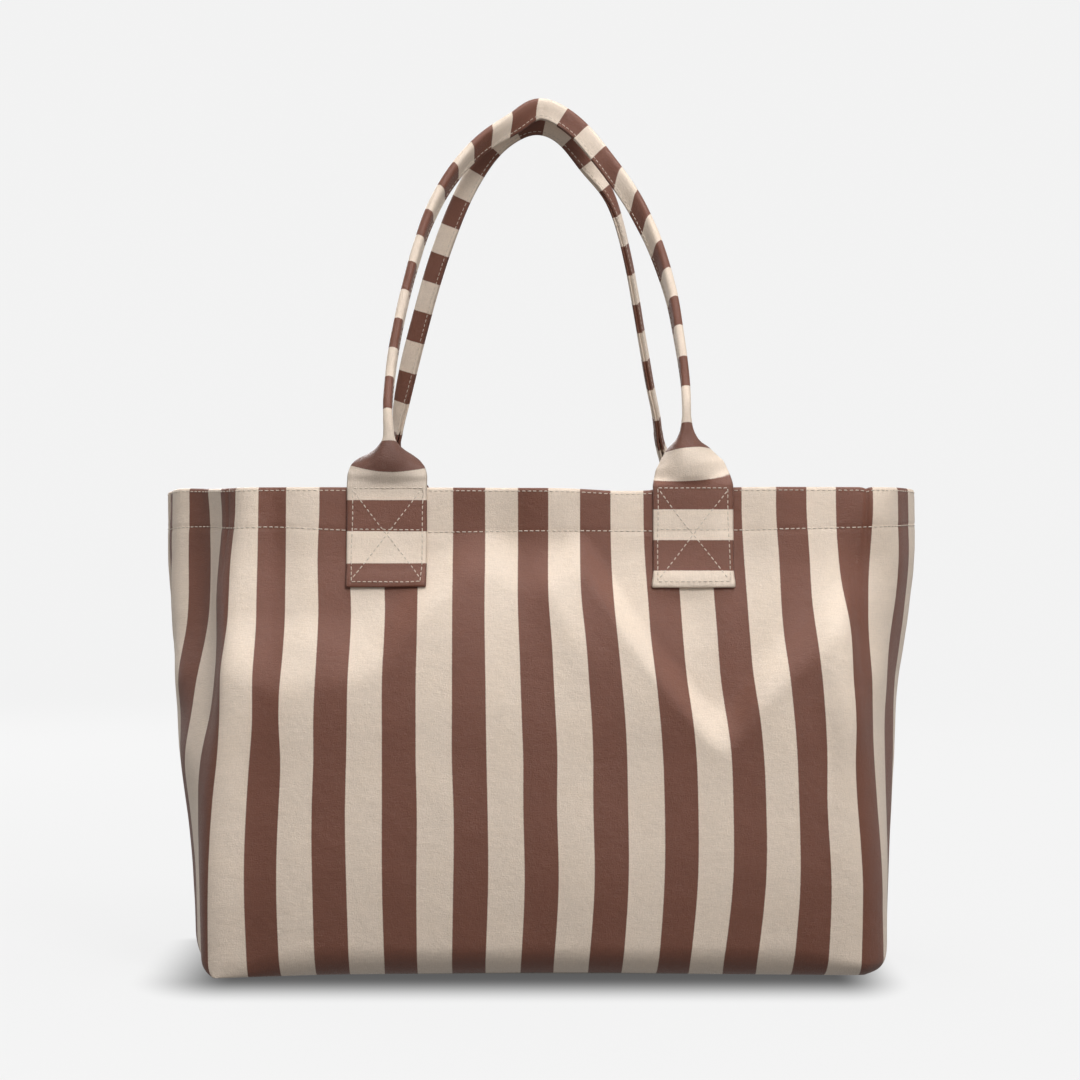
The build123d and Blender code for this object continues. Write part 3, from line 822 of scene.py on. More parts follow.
def lining_panel(side, name):
    ks = np.linspace(-5.52, 22.52, 132)
    pn = Panel(side, ks)
    rows, sel = [], None
    zt = hem_z(ks, side) + 3.0
    z0 = 12.0
    for v in np.linspace(0, 1, 62):
        z = zt + (z0 - zt) * v
        ins = 1.85 + 1.6 * sstep(0.03, 0.12, v) + (0.5 + 3.2 * sstep(0.6, 1.0, v)) * sstep(0.1, 0.3, v)
        xy, n = pn.wall(z[None], inset=0.0)
        kx = ks * 25
        slack = 1.1 * sstep(0.06, 0.3, v) * (1 - sstep(0.85, 1, v)) * (
            1 + N_MID[-side](kx * 0.8 + 50, z * 0.5) + 0.5 * N_BIG[-side](kx + 100, z))
        rows.append(np.concatenate([xy[0] - n[0] * (ins + slack)[:, None], z[:, None]], -1))
    last = rows[-1].copy()
    top, nn = last[:, :2], pn.out(last[:, :2])
    ft = foot(ks, side)
    for a in np.linspace(0, math.pi / 2, 5)[1:]:
        q = top + (ft * 0.96 - top) * (1 - math.cos(a)) * 0.6
        rows.append(np.concatenate([q, np.full((len(ks), 1), 5.6 + (z0 - 5.6) * (1 - math.sin(a)))], -1))
    P = np.array(rows)
    s = np.concatenate([np.zeros((1, len(ks))), np.cumsum(np.linalg.norm(np.diff(P, axis=0), axis=-1), 0)])
    V = [P.reshape(-1, 3)]
    T = [np.stack([np.broadcast_to(ks, s.shape), s / 25], -1).reshape(-1, 2)]
    F = [grid_faces(len(rows), len(ks), 0, flip=side > 0)]
    # floor of the lining, over the board
    base = []
    last = P[-1]
    for t in np.linspace(0, 1, 16):
        q = last.copy()
        q[:, 1] = last[:, 1] * (1 - t)
        q[:, 2] = 5.6 + 0.5 * np.sin(np.pi * t) * (1 + N_MID[side](q[:, 0], q[:, 1]))
        base.append(q)
    base = np.array(base)
    n0 = len(V[0])
    V.append(base[1:].reshape(-1, 3))
    sb = s[-1][None] + np.abs(base[:, :, 1] - base[:1, :, 1])
    T.append(np.stack([np.broadcast_to(ks, sb.shape), sb / 25], -1)[1:].reshape(-1, 2))
    F.append(grid_faces(15, len(ks), n0, flip=side > 0))
    row0 = (len(rows) - 1) * len(ks)
    F.append(np.array([(row0 + j, row0 + j + 1, n0 + j + 1, n0 + j) if side < 0 else
                       (row0 + j, n0 + j, n0 + j + 1, row0 + j + 1) for j in range(len(ks) - 1)]))
    ob = make_mesh(name, np.concatenate(V), np.concatenate(F), np.concatenate(T), mat=M_LINING)
    area = float(sum(p.area for p in ob.data.polygons))
    solidify(ob, 0.45)
    return ob, pn, P, area


lin_f, lpn_f, lrows_f, larea_f = lining_panel(-1, "lining_front_cloth")
lin_b, lpn_b, lrows_b, larea_b = lining_panel(1, "lining_back_cloth")
for ob, node in ((lin_f, "lining_front_panel"), (lin_b, "lining_back_panel")):
    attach(ob, "bag")
    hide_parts(node)


def on_lining(side, X, Z, off):
    """Points off mm inside the lining, and the normals that face into the bag."""
    rows = lrows_f if side < 0 else lrows_b
    rows = rows[:60]
    m = (rows[30, :, 0] > -215) & (rows[30, :, 0] < 215)
    R = rows[:, m]

    def y(x, z):
        out = np.empty(np.shape(x))
        for i in np.ndindex(np.shape(x)):
            j = int(np.argmin(np.abs(R[30, :, 0] - x[i])))
            zz = R[:, j, 2]
            r = int(np.clip(np.searchsorted(-zz, -z[i]) - 1, 0, len(zz) - 2))
            a = np.interp(x[i], R[r, :, 0], R[r, :, 1])
            b = np.interp(x[i], R[r + 1, :, 0], R[r + 1, :, 1])
            out[i] = a + (b - a) * (zz[r] - z[i]) / (zz[r] - zz[r + 1])
        return out
    Y = y(X, Z)
    e = 4.0
    dx = (y(X + e, Z) - y(X - e, Z)) / (2 * e)
    dz = (y(X, Z + e) - y(X, Z - e)) / (2 * e)
    s = -side
    n = unit(np.stack([-s * dx, np.full_like(Y, s), -s * dz], -1))
    return np.stack([X, Y, Z], -1) + n * off, n


def patch_on_lining(name, side, xc, zc, w, h, off, thick, nx, nz, mat, belly=0.0):
    u, v = np.meshgrid(np.linspace(-0.5, 0.5, nx), np.linspace(0.5, -0.5, nz))
    X, Z = xc + u * w, zc + v * h
    P, n = on_lining(side, X, Z, off)
    swell = belly * np.sin(np.pi * (u + 0.5)) * sstep(-0.45, 0.4, v)
    P = P + n * swell[..., None]
    ob = make_mesh(name, P.reshape(-1, 3), grid_faces(nz, nx, 0, flip=side < 0),
                   np.stack([u * w / 25, v * h / 25], -1).reshape(-1, 2), mat=mat)
    solidify(ob, thick)
    return ob, P, n


pocket, pp, pnn = patch_on_lining("inner_pocket_cloth", 1, 0, 235, 190, 140, 1.5, 0.55, 64, 48, M_LINING, belly=3.0)
label, lp, lnn = patch_on_lining("care_label_tape", -1, -150, 270, 22, 42, 1.3, 0.35, 12, 22, M_LABEL, belly=1.6)
lift = 0.2
pk = [(pp[:, 1] + pnn[:, 1] * lift, pnn[:, 1]), (pp[-2] + pnn[-2] * lift, pnn[-2]), (pp[:, -2] + pnn[:, -2] * lift, pnn[:, -2]),
      (pp[3] + pnn[3] * lift, pnn[3])]
pk_st = pearls("pocket_stitches", pk, M_THREAD, r=0.26, dash=2.4, pitch=3.3, seed=9)
lb_st = pearls("label_stitches", [(lp[1] + lnn[1] * lift, lnn[1])], M_THREAD, r=0.22, dash=2.0, pitch=2.8, seed=10)
for ob, node, sl in ((pocket, "inner_pocket", "lining_cotton"), (label, "care_label", "label_tape")):
    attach(ob, "bag")
    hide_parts(node)
for ob in (pk_st, lb_st):
    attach(ob, "bag")

# ================================================================ reinforcement patches and board


def reinforcement(side, hx, name):
    u, v = np.meshgrid(np.linspace(-0.5, 0.5, 22), np.linspace(0.5, -0.5, 16))
    X, Z = hx * 111 + u * 62, 353 - 30 - 7 - 21 + v * 42
    P, n = FACE[side].at(X, Z)
    P = P - n * 1.35
    ob = make_mesh(name, P.reshape(-1, 3), grid_faces(16, 22, 0, flip=side < 0), np.stack([u * 62 / 25, v * 42 / 25], -1).reshape(-1, 2),
                   mat=M_NONWOVEN)
    solidify(ob, 0.4)
    return ob


SIDES = {"front": -1, "back": 1}
HANDS = {"left": -1, "right": 1}
for face, side in SIDES.items():
    for hand, hx in HANDS.items():
        ob = reinforcement(side, hx, f"{face}_{hand}_patch")
        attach(ob, "bag")
        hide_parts(f"{face}_{hand}_reinforcement")
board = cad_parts["base_board"]
board.data.materials.clear()
board.data.materials.append(M_BOARD)

# ================================================================ handles
# Middle line of each grip from its left neck to its right neck, (x, y, z, twist): twist is how far the
# folded edge has turned from facing out of the bag (0) to facing out of the arch (90).
FRONT_PATH = [
    (-110, -77.2, 388, 3), (-110.6, -69.4, 408, 6), (-109.6, -58.2, 433.6, 7), (-107, -52.4, 455, 8), (-103.2, -46.6, 477, 8),
    (-98.6, -40.7, 498.5, 9), (-93.6, -35.3, 519, 10), (-87.7, -29.9, 539.5, 12), (-81, -25.0, 558, 17), (-68.5, -18.8, 582, 21),
    (-52.5, -12.9, 603, 30), (-35.2, -9.1, 618, 48), (-16.5, -6.2, 630, 66), (-1.5, -5.0, 638.6, 80), (14, -5.6, 634.0, 88), (31, -8.5, 620.5, 90),
    (45.4, -12.9, 603, 84), (58.4, -17.7, 585, 72), (69.4, -22.2, 568, 62), (78, -26.7, 551, 50), (85.4, -31.5, 533.5, 38),
    (91.8, -36.7, 514, 26), (97, -42.0, 494, 18), (100.8, -47.8, 472, 12), (103.9, -53.8, 450, 8), (106.2, -59.9, 427, 3), (106.6, -71.0, 403.5, 0),
    (107.2, -77.4, 387, 0)]
BACK_PATH = [
    (-112.5, 76.4, 388, 4), (-110.6, 69.0, 402, 16), (-106.6, 61.4, 424, 50), (-101.6, 54.5, 447, 70), (-95.6, 48.4, 470, 73), (-89.6, 42.6, 491.5, 73),
    (-83.2, 37.0, 513, 74), (-76, 31.2, 534.5, 77), (-68, 25.5, 555.5, 82), (-58.6, 20.0, 576.5, 88), (-47.6, 15.1, 595.6, 90), (-34.2, 11.0, 612.4, 90),
    (-18.8, 8.2, 623.6, 90), (-3, 7.0, 628.2, 90), (11, 7.8, 625.0, 90), (24, 10.2, 614.8, 86), (37.2, 14.2, 598, 62), (50.2, 19.2, 579.4, 22),
    (58.6, 24.7, 559.5, 8), (64.4, 30.2, 538.2, 6), (69.2, 35.8, 517, 5), (73.4, 41.8, 495, 5), (77.2, 47.4, 474, 4), (81.2, 53.1, 452.7, 3),
    (85.4, 58.9, 430.7, 2), (90.2, 65.0, 408, 0), (93.8, 76.4, 388, 0)]
# stripe count against length from the left end of the strap at the rim
FRONT_U = [(-79, -1), (-56.1, 0), (-32.2, 1), (-9.4, 2), (11.4, 3), (34.0, 4), (57.5, 5), (83.5, 6), (128.8, 8), (173.6, 10), (215.6, 12), (256.5, 14),
           (296.5, 16), (334, 18), (371, 20), (411, 22), (453, 24), (496.5, 26), (541.5, 28), (589, 30), (617.6, 31)]
BACK_U = [(-79, -1.6), (-9.4, 1.4), (27, 3), (50.5, 4), (73.5, 5), (122, 7), (169.7, 9), (215, 11), (260.5, 13), (305, 15), (348.5, 17), (393.3, 19),
          (439.4, 21), (485.1, 23), (529.4, 25), (576.1, 27), (598.6, 28)]
STRAP_HALF, GRIP_HALF, PADX, PAD_LOW = 28.4, 14.3, 111.0, 281.0


def strap(side, name):
    ctrl = np.array(FRONT_PATH if side < 0 else BACK_PATH, float)
    face = FACE[side]
    # the centre line: up the wall, through the neck, over the arch, down again
    def wall_line(x, z):
        P, n = face.at(np.full(len(z), float(x)), np.asarray(z, float))
        return P + n * 1.45
    zs = np.array([281.0, 296, 311, 326, 340])
    L = wall_line(-PADX, zs)
    R = wall_line(PADX, zs)[::-1]
    rimL, rimR = wall_line(-PADX, np.array([350.5]))[0], wall_line(PADX, np.array([350.5]))[0]
    # the stitched-down end stands straight up before the grip bends back
    nl = np.array([0.5 * rimL[0] + 0.5 * ctrl[0, 0], rimL[1] + side * 2.6, 370.5])
    nr = np.array([0.5 * rimR[0] + 0.5 * ctrl[-1, 0], rimR[1] + side * 2.6, 370.5])
    pts = np.concatenate([L, [rimL, nl], ctrl[:, :3], [nr, rimR], R])
    twist = np.concatenate([[0] * 6, [0], ctrl[:, 3], [0], [0] * 6])
    d = np.r_[0, np.cumsum(np.linalg.norm(np.diff(pts, axis=0), axis=1))]
    dense = np.linspace(0, d[-1], 3000)
    C = spline(d, pts, dense)
    arc = np.r_[0, np.cumsum(np.linalg.norm(np.diff(C, axis=0), axis=1))]
    tw = np.interp(dense, d, twist)
    tw = np.convolve(np.pad(tw, 60, mode="edge"), np.hanning(121) / np.hanning(121).sum(), "valid")
    total = arc[-1]
    rim_s = np.interp(d[5], dense, arc) + 2.5           # rim, from the left end
    rim_e = total - (np.interp(d[-6], dense, arc) - 2.5)   # the same from the right end
    # stations: dense in the necks
    s = np.unique(np.round(np.concatenate([np.linspace(0, rim_s, 34), np.linspace(rim_s, rim_s + 54, 50), np.linspace(rim_s + 54, total - rim_e - 54, 200),
                                           np.linspace(total - rim_e - 54, total - rim_e, 50), np.linspace(total - rim_e, total, 34)]), 3))
    P = np.stack([np.interp(s, arc, C[:, j]) for j in range(3)], -1)
    phi = np.radians(np.interp(s, arc, tw))
    ds = 1.5
    Pa = np.stack([np.interp(s + ds, arc, C[:, j]) for j in range(3)], -1)
    Pb = np.stack([np.interp(s - ds, arc, C[:, j]) for j in range(3)], -1)
    T = unit(Pa - Pb)
    # outward normal of the wall or of the arch's own plane
    lean = math.atan2(75.0, 284.0)
    B_arch = np.array([0, side * math.cos(lean), math.sin(lean)])
    dist = np.minimum(s - rim_s, total - rim_e - s)     # + above the rim
    B_wall = np.array([0, side * 0.985, 0.17])
    wB = sstep(-5, 30, dist)[:, None]
    B = unit(B_wall * (1 - wB) + B_arch * wB)
    B = unit(B - T * (B * T).sum(-1, keepdims=True))
    N = np.cross(B, T) * (1 if side < 0 else -1)      # sideways, away from the arch's middle
    N = unit(N)
    mid = P[:, 0:1] * 0
    # N must point away from the inside of the arch
    inside = np.array([0, P[:, 1].mean(), 430.0])
    sign = np.sign(((P - inside) * N).sum(-1)[len(s) // 2])
    N = N * sign
    S = unit(np.cos(phi)[:, None] * B + np.sin(phi)[:, None] * N)
    A = unit(np.cross(T, S))
    # width and folding of the section: half the length of the cloth, and the half width that shows
    h = np.interp(dist, [-200, 10, 15, 23, 29, 33, 36, 40, 46], [STRAP_HALF, STRAP_HALF, 27.8, 26.4, 23.5, 19.8, 17.4, 15.2, GRIP_HALF])
    left_end = P[:, 0] < 0
    tall = (side < 0) & ~left_end
    show_l = np.interp(dist, [-200, 9, 15, 23, 28.8, 32.9, 35.5, 39, 46], [29, 28.2, 26.4, 22.2, 16.4, 10.4, 4.6, 1.9, 0.9])
    show_r = np.interp(dist, [-200, 4, 10, 18, 23, 28.5, 33.4, 38, 43.5, 48, 53], [29, 27.4, 25.9, 23.9, 21.9, 18.9, 14.9, 9.6, 4.2, 1.6, 0.9])
    show_b = np.interp(dist, [-200, 0, 3, 7, 17, 26, 33, 39, 46], [29, 28.2, 24.5, 21.5, 16, 9.5, 4.6, 1.9, 0.9])
    show = np.where(tall, show_r, show_l if side < 0 else show_b)
    fold = np.arccos(np.clip(show / h, 0.02, 1.0))
    fold = np.where(dist < 2, 0, fold)
    fold = np.where(dist > 52, math.pi / 2, fold)
    fold = np.convolve(np.pad(fold, 2, mode="edge"), np.hanning(7)[1:-1] / np.hanning(7).sum(), "valid")
    h = np.convolve(np.pad(h, 3, mode="edge"), np.ones(7) / 7, "valid")
    if side < 0:
        h = h + 1.6 * bump(s, 0.5 * total, 80)
    else:
        h = h - 4.2 * sstep(-5, 3, dist) * (1 - sstep(30, 46, dist))
    if side < 0:
        end = np.where(left_end, 0.0, 0.8)
        h = h + end * (1 - sstep(3, 8, np.minimum(s, total - s)))
    th = np.interp(dist, [-200, 0, 30, 48], [2.3, 2.3, 2.2, 2.1])
    rng = np.random.default_rng(77 + side)
    sway = np.interp(s, np.linspace(0, total, 46), rng.normal(0, 1, 46))
    nw = 26
    wn = np.concatenate([np.linspace(-1, -0.28, 9), np.linspace(-0.22, 0.22, 13), np.linspace(0.28, 1, 9)])
    nw = len(wn)
    mid_pts = np.zeros((len(s), nw, 2))
    nrm2 = np.zeros((len(s), nw, 2))
    for i in range(len(s)):
        w = wn * h[i]
        fine = np.linspace(0, h[i], 80)
        # a dome where it is only slightly bent, a sharp fold in the grip; the width that shows is kept
        reach = 3.7 + 9.0 * (1 - (fold[i] / (math.pi / 2)) ** 2)
        curve = sstep(0.0, reach, fine)
        lo, hi = 0.0, math.pi / 2
        for _ in range(22):
            f = 0.5 * (lo + hi)
            if np.cos(f * curve).mean() > math.cos(fold[i]):
                lo = f
            else:
                hi = f
        bend = 0.5 * (lo + hi) * curve
        # folded halves stay a little proud of each other
        cx = np.r_[0, np.cumsum(np.cos((bend[1:] + bend[:-1]) / 2) * np.diff(fine))]
        cy = -np.r_[0, np.cumsum(np.sin((bend[1:] + bend[:-1]) / 2) * np.diff(fine))]
        shut = (fold[i] / (math.pi / 2)) ** 6
        belly = cx[-1] + 0.35 * np.sin(np.pi * np.clip(fine / h[i], 0, 1)) * shut
        goal_x = th[i] / 2 + 0.03
        cx = cx + shut * sstep(0.30, 0.82, fine / h[i]) * (goal_x - cx)
        aw = np.abs(w)
        x2 = np.interp(aw, fine, cx) * np.sign(w)
        y2 = np.interp(aw, fine, cy)
        b2 = np.interp(aw, fine, bend)
        mid_pts[i, :, 0], mid_pts[i, :, 1] = x2, y2 - cy.mean() * (0.12 + 0.88 * float(sstep(33, 66, dist[i])))
        nrm2[i, :, 0], nrm2[i, :, 1] = np.sin(b2) * np.sign(w), np.cos(b2)
    ctr = P
    mid3 = ctr[:, None] + A[:, None] * mid_pts[..., 0:1] + S[:, None] * mid_pts[..., 1:2]
    n3 = A[:, None] * nrm2[..., 0:1] + S[:, None] * nrm2[..., 1:2]
    # on the wall the strap follows the cloth under it
    zc = P[:, 2]
    follow = (1 - sstep(-1, 9, dist))[:, None]
    lat = np.sign(P[:, 0])[:, None] * PADX
    Alat = A[:, 0:1]
    for i in range(len(s)):
        if follow[i, 0] > 0:
            xx = np.sign(P[i, 0]) * PADX + wn * h[i] * np.sign(A[i, 0])
            zz = np.full(nw, min(zc[i], 350.0))
            Q, n = face.at(xx, zz)
            if zc[i] > 350:
                up = (zc[i] - 350)
                tan = unit(np.cross(n, np.array([1.0, 0, 0])) * (1 if side < 0 else -1))
                tan = tan * np.sign(tan[:, 2:3])
                Q = Q + tan * up
            Q = Q + n * 1.5
            mid3[i] = Q * follow[i, 0] + mid3[i] * (1 - follow[i, 0])
            n3[i] = unit(n * follow[i, 0] + n3[i] * (1 - follow[i, 0]))
    # small unevenness of a sewn strap
    fuzz = Noise2(301 + side, 14)
    mid3 = mid3 + n3 * (0.16 * fuzz(s[:, None] - 350, wn[None] * h[:, None] * 1.3 + 40) * np.ones_like(wn)[None])[..., None]
    half = th[:, None] / 2 * np.ones(nw)[None]
    low = np.minimum(s, total - s)
    half = half + 0.32 * (1 - sstep(9.5, 11.5, low))[:, None]            # end turned under
    half = half - 0.22 * bump(low, 2.6, 1.0)[:, None] * (np.abs(wn) < 0.93)[None]
    # stitched edges are pressed thinner
    wmm = np.abs(wn)[None] * h[:, None]
    press = np.exp(-((h[:, None] - wmm - 2.0) / 1.3) ** 2)
    half = half - 0.28 * press
    outer = mid3 + n3 * half[..., None]
    inner = mid3 - n3 * half[..., None]
    # edges: rounded with two more points each side
    lat_dir = unit(np.gradient(mid3, axis=1))
    eL = mid3[:, :1] - lat_dir[:, :1] * half[:, :1, None] * 0.75
    eR = mid3[:, -1:] + lat_dir[:, -1:] * half[:, -1:, None] * 0.75
    loop = np.concatenate([outer, eR, inner[:, ::-1], eL], 1)
    m = loop.shape[1]
    ucurve = np.array(FRONT_U if side < 0 else BACK_U, float)
    sr = s - rim_s
    pitchR = (ucurve[-1, 0] - ucurve[-3, 0]) / (ucurve[-1, 1] - ucurve[-3, 1])
    ext_s = ucurve[-1, 0] + 22.8 * np.arange(1, 9)
    ext_u = ucurve[-1, 1] + np.arange(1, 9)
    if side < 0:
        # right end of the front strap: its own measured run down to the lower edge
        ext_s = np.array([636.5, 660.5, 681.5, 704.0, 726.8, 750.0])
        ext_u = 31 + np.arange(1, 7)
    cu = np.concatenate([ucurve[:, 0], ext_s])
    cv = np.concatenate([ucurve[:, 1], ext_u])
    # lengths along this strap are matched to the table's total
    goal = 665.4 if side < 0 else 641.0
    rimlen = total - rim_e - rim_s
    sc = np.where(sr < 0, sr, np.where(sr > rimlen, goal + (sr - rimlen), sr * goal / rimlen))
    uu = np.interp(sc, cu, cv)
    uu = np.convolve(np.pad(uu, 2, mode="edge"), np.ones(5) / 5, "valid") if False else uu
    wcol = np.concatenate([wn, [1.03], wn[::-1], [-1.03]])
    wmm2 = wcol[None] * h[:, None]
    # stripes cut across the fold: skewed where the grip is pulled round the bend
    al = np.degrees(phi)
    if side < 0:
        sk = 0.055 * np.sin(np.radians(al)) * (1 - sstep(60, 90, al)) * np.sign(P[:, 0]) * -1
    else:
        sk = 0 * al
    # on the neck the sides swing back and down, so a straight stripe is kept straight
    neck = (sstep(2, 12, dist) * (1 - sstep(30, 44, dist)))[:, None]
    back = np.concatenate([mid_pts[..., 1], mid_pts[:, -1:, 1], mid_pts[:, ::-1, 1], mid_pts[:, :1, 1]], 1)
    back = back - mid_pts[:, nw // 2, 1][:, None]
    dirn = np.where(P[:, 0] < 0, 1.0, -1.0)[:, None]
    droop = dirn * neck * (back * 0.27 - 1.0 * (wmm2 / 28.0) ** 2) / 23.0
    U = uu[:, None] + droop + (sk[:, None] * np.abs(wmm2) / 25.0 * 22)
    UV = np.stack([U, wmm2 / 25.0 + np.where(np.arange(m) >= nw, 3.3, 0.0)[None]], -1)
    V = [loop.reshape(-1, 3)]
    Fq = [tuple(f) for f in grid_faces(len(s), m, 0, wrap=True, flip=False)]
    UVs = [UV.reshape(-1, 2)]
    # closed ends, slightly rounded
    c0 = len(V[0])
    for end, row in ((0, 0), (1, len(s) - 1)):
        t = T[row] * (-1 if end == 0 else 1)
        ring = loop[row]
        cen = np.concatenate([mid3[row], mid3[row, -1:], mid3[row, ::-1], mid3[row, :1]])
        cap = cen + (ring - cen) * 0.55 + t * 0.75
        cap2 = cen + t * 0.95
        for q in (cap, cap2):
            V.append(q)
            UVs.append(UV[row])
        a, b1, b2 = row * m, c0, c0 + m
        c0 += 2 * m
        for j in range(m):
            j2 = (j + 1) % m
            q1 = (a + j, a + j2, b1 + j2, b1 + j)
            q2 = (b1 + j, b1 + j2, b2 + j2, b2 + j)
            if end == 0:
                q1, q2 = q1[::-1], q2[::-1]
            Fq += [q1, q2]
        # close the flat seam between upper and lower halves
        for j in range(nw - 1):
            f = (b2 + j, b2 + j + 1, b2 + (2 * nw - 1 - j), b2 + (2 * nw - j))
            Fq.append(f if end == 1 else f[::-1])
    ob = make_mesh(name, np.concatenate(V), Fq, np.concatenate(UVs), mat=M_STRAP[side])
    import bmesh
    bm = bmesh.new()
    bm.from_mesh(ob.data)
    bmesh.ops.remove_doubles(bm, verts=bm.verts, dist=1e-6)
    bmesh.ops.recalc_face_normals(bm, faces=bm.faces)
    bm.to_mesh(ob.data)
    bm.free()
    ob.data.update()
    info = dict(s=s, wn=wn, h=h, outer=outer, n3=n3, half=half, dist=dist, total=total, P=P, T=T)
    return ob, info


def strap_stitches(info, name):
    """The row of stitches that closes the folded grip, on both faces."""
    runs = []
    for sg in (-1, 1):
        pts, nr = [], []
        for i in range(len(info["s"])):
            if info["dist"][i] < 38:
                continue
            w = (info["h"][i] - 2.1) * sg
            row = info["outer"][i]
            ww = info["wn"] * info["h"][i]
            pts.append([np.interp(w, ww, row[:, j]) for j in range(3)])
            nr.append([np.interp(w, ww, info["n3"][i][:, j]) for j in range(3)])
        pts, nr = np.array(pts), unit(np.array(nr))
        runs.append((pts + nr * 0.08, nr))
    return pearls(name, runs, M_THREAD, r=0.25, dash=2.6, pitch=3.8, seed=31)


def box_stitches(side, hx, info, name):
    """Stitched box with a cross on a strap end."""
    face = FACE[side]
    W, z0, z1 = 51.0 / 2, 284.4, 352.4
    x0 = hx * PADX
    rng = np.random.default_rng(5 + side * 2 + hx)
    jit = rng.normal(0, 0.5, 8)
    c = [(-W + jit[0], z0 + jit[1] * 0.5), (W + jit[2], z0 + jit[3] * 0.5), (W + jit[4], z1), (-W + jit[5], z1)]
    zm0, zm1 = z0 + 2.4, 350.5
    segs = [(c[0], c[1]), (c[1], c[2]), (c[3], c[0]), (c[3], c[2]),
            ((-W + 1, zm0), (W - 1, zm1)), ((W - 1, zm0), (-W + 1, zm1)),
            ((-W + 1.0, 322.6), (W - 1.0, 322.2))]
    runs = []
    for a, b in segs:
        t = np.linspace(0, 1, 26)
        X = x0 + a[0] + (b[0] - a[0]) * t + 0.25 * np.sin(t * 7 + jit[6])
        Z = a[1] + (b[1] - a[1]) * t
        P, n = face.at(X, np.minimum(Z, 350.0))
        P = P + np.maximum(Z - 350.0, 0)[:, None] * np.array([0, -side * 0.06, 1.0])
        lowz = np.where(Z < 281 + 10.5, 0.32, 0.0)
        runs.append((P + n * (1.5 + 1.15 + lowz - 0.02)[:, None], n))
    return pearls(name, runs, M_THREAD, r=0.37, dash=2.9, pitch=4.1, seed=50 + side + 2 * hx)


STRAPS = {}
for face, side in SIDES.items():
    body = f"{face}_handle"
    st, info = strap(side, f"{face}_strap")
    STRAPS[side] = info
    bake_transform(st)
    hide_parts(f"{face}_handle_strap", f"{face}_left_strap_end", f"{face}_right_strap_end")
    gs = strap_stitches(info, f"{face}_grip_stitches")
    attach(gs, body)
    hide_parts(f"{face}_handle_edge_stitching")
    for hand, hx in HANDS.items():
        bs = box_stitches(side, hx, info, f"{face}_{hand}_box_stitches")
        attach(bs, "bag")
        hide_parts(f"{face}_{hand}_box_stitching")

# ================================================================ stage, lights and camera


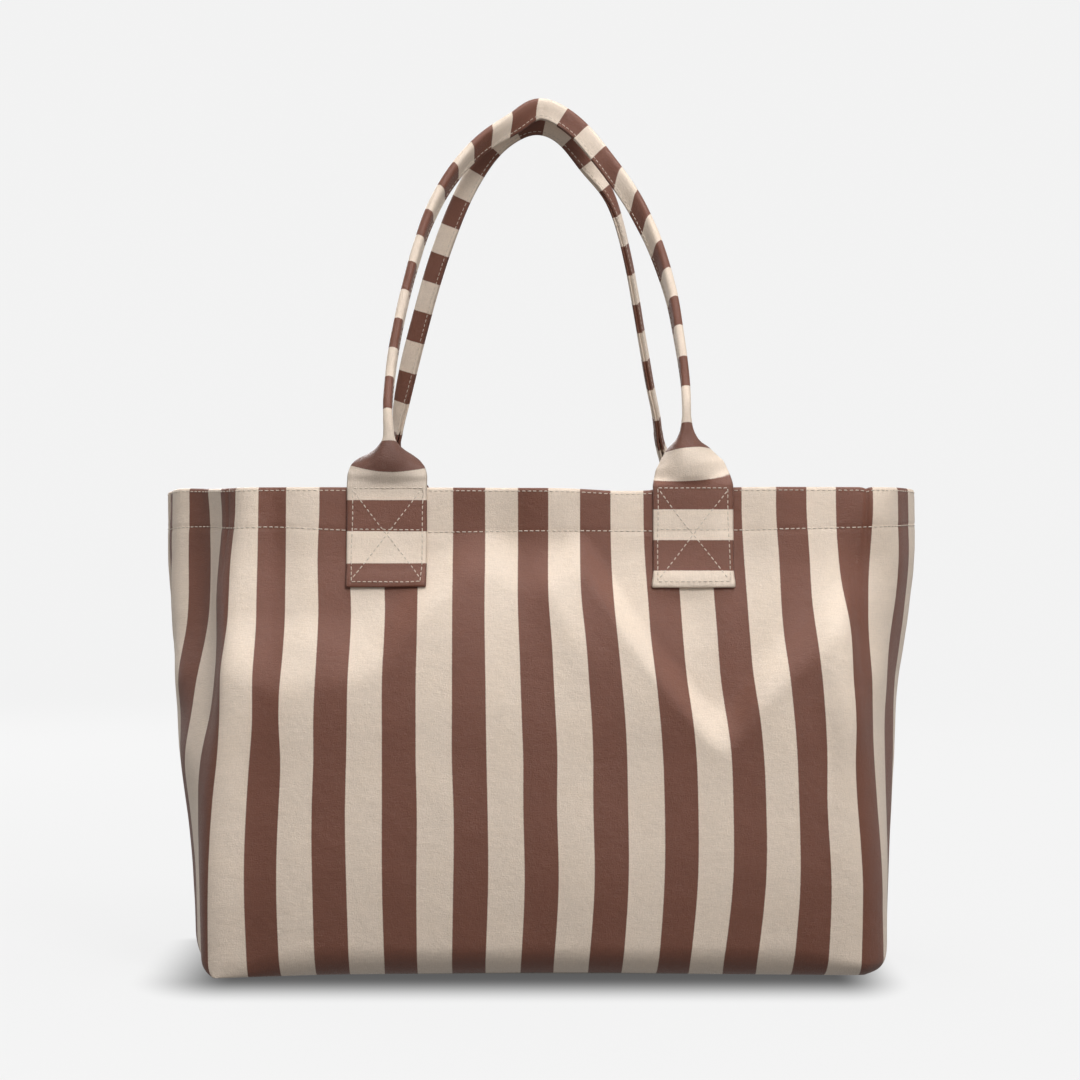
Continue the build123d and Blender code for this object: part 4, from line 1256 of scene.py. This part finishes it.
def stage():
    """Back-lit pale table and sweep: even but for a painted shadow round the bag's foot, and it throws no colour on the
    bag.
    """
    g = Graph("studio_paper")
    tc = g.node("ShaderNodeTexCoord")
    n = g.noise(tc.outputs["Object"], 2.0, 3.0, 0.5)
    xyz = g.node("ShaderNodeSeparateXYZ")
    g.t.links.new(tc.outputs["Object"], xyz.inputs[0])
    px, py = xyz.outputs[0], xyz.outputs[1]

    def off(v, lo, wl, hi, wh):
        a = g.math("DIVIDE", g.math("SUBTRACT", lo, v), wl)
        b = g.math("DIVIDE", g.math("SUBTRACT", v, hi), wh)
        return g.math("MAXIMUM", g.math("MAXIMUM", a, b), 0.0)
    # painted shadow: a soft dark band round the bag's footprint, deepest at the front and left, darkens the paper's
    # colour
    qx, qy = off(px, -0.218, 0.078, 0.212, 0.055), off(py, -0.098, 0.122, 0.100, 0.045)
    q = g.math("POWER", g.math("ADD", g.math("MULTIPLY", qx, qx), g.math("MULTIPLY", qy, qy)), 0.5)
    q = g.math("MINIMUM", q, 1.0)
    soft = g.math("MULTIPLY", g.math("MULTIPLY", q, q), g.math("SUBTRACT", 3.0, g.math("MULTIPLY", q, 2.0)))
    soft = g.math("ADD", 0.13, g.math("MULTIPLY", soft, 0.87))       # the bag shades the paper round its foot
    pale = g.mix(n, (0.048, 0.048, 0.048, 1), (0.052, 0.052, 0.052, 1))
    g.put(g.b.inputs["Base Color"], g.mix(soft, (0.01, 0.01, 0.01, 1), pale))
    far = g.node("ShaderNodeVectorMath", operation="LENGTH")
    g.t.links.new(tc.outputs["Object"], far.inputs[0])
    glow = g.math("SUBTRACT", 0.869, g.math("MULTIPLY", g.math("EXPONENT", g.math("MULTIPLY", far.outputs["Value"], -0.42)), 0.047))
    # the painted shadow dims the glow as well
    glow = g.math("MULTIPLY", glow, soft)
    g.b.inputs["Roughness"].default_value = 0.95
    g.b.inputs["Specular IOR Level"].default_value = 0.0
    g.b.inputs["Emission Color"].default_value = (1, 1, 1, 1)
    g.put(g.b.inputs["Emission Strength"], glow)
    prof = [(0.0, 0.0)] + [(r, 0.0) for r in (0.5, 1.5, 3.6)]
    for a in np.linspace(0, 90, 16)[1:]:
        prof.append((3.6 + 2.4 * math.sin(math.radians(a)), 2.4 * (1 - math.cos(math.radians(a)))))
    prof.append((6.0, 10.0))
    ang = np.linspace(0, 2 * math.pi, 96, endpoint=False)
    V = [(r * math.cos(t) * 1000, r * math.sin(t) * 1000, z * 1000 - 0.25) for r, z in prof for t in ang]
    ob = make_mesh("studio_sweep", V, grid_faces(len(prof), 96, 0, wrap=True), mat=g.mat)
    ob.visible_diffuse = False
    ob.visible_glossy = False


stage()


def area(name, loc, target, size, power, color=(1, 1, 1)):
    ld = bpy.data.lights.new(name, "AREA")
    ld.shape = "RECTANGLE"
    ld.size, ld.size_y = size
    ld.energy = power
    ld.color = color
    ob = bpy.data.objects.new(name, ld)
    bpy.context.scene.collection.objects.link(ob)
    ob.location = loc
    ob.rotation_euler = (Vector(target) - Vector(loc)).to_track_quat("-Z", "Y").to_euler()
    return ob


area("key", (1.05, -2.1, 2.5), (0, 0, 0.30), (1.0, 1.0), 66)
area("top", (0.3, -0.5, 2.9), (0, 0, 0.2), (2.2, 1.8), 46)
area("fill", (-2.8, -1.6, 0.9), (0, 0, 0.3), (1.6, 1.6), 7)
area("rear", (-1.3, 2.6, 1.7), (0, 0, 0.3), (1.4, 1.2), 40)
world = bpy.data.worlds.new("studio")
world.use_nodes = True
wt = world.node_tree
bg = wt.nodes["Background"]
wc = wt.nodes.new("ShaderNodeTexCoord")
ws = wt.nodes.new("ShaderNodeSeparateXYZ")
wr = wt.nodes.new("ShaderNodeMapRange")
wt.links.new(wc.outputs["Generated"], ws.inputs[0])
wt.links.new(ws.outputs[2], wr.inputs[0])
for i, v in enumerate((-0.30, 0.40, 0.27, 0.47), 1):
    wr.inputs[i].default_value = v
wt.links.new(wr.outputs[0], bg.inputs[1])
bg.inputs[0].default_value = (1.0, 1.0, 1.0, 1)
bpy.context.scene.world = world
bpy.context.scene.view_settings.view_transform = "Standard"
bpy.context.scene.view_settings.look = "None"
bpy.context.scene.view_settings.exposure = 0.0

cam = bpy.data.cameras.new("camera")
cam.lens, cam.sensor_width = 100.0, 36.0
cam_ob = bpy.data.objects.new("camera", cam)
bpy.context.scene.collection.objects.link(cam_ob)
cam_ob.location = (0, -2.255, 0.315)
cam_ob.rotation_euler = (math.radians(90), 0, 0)
bpy.context.scene.camera = cam_ob
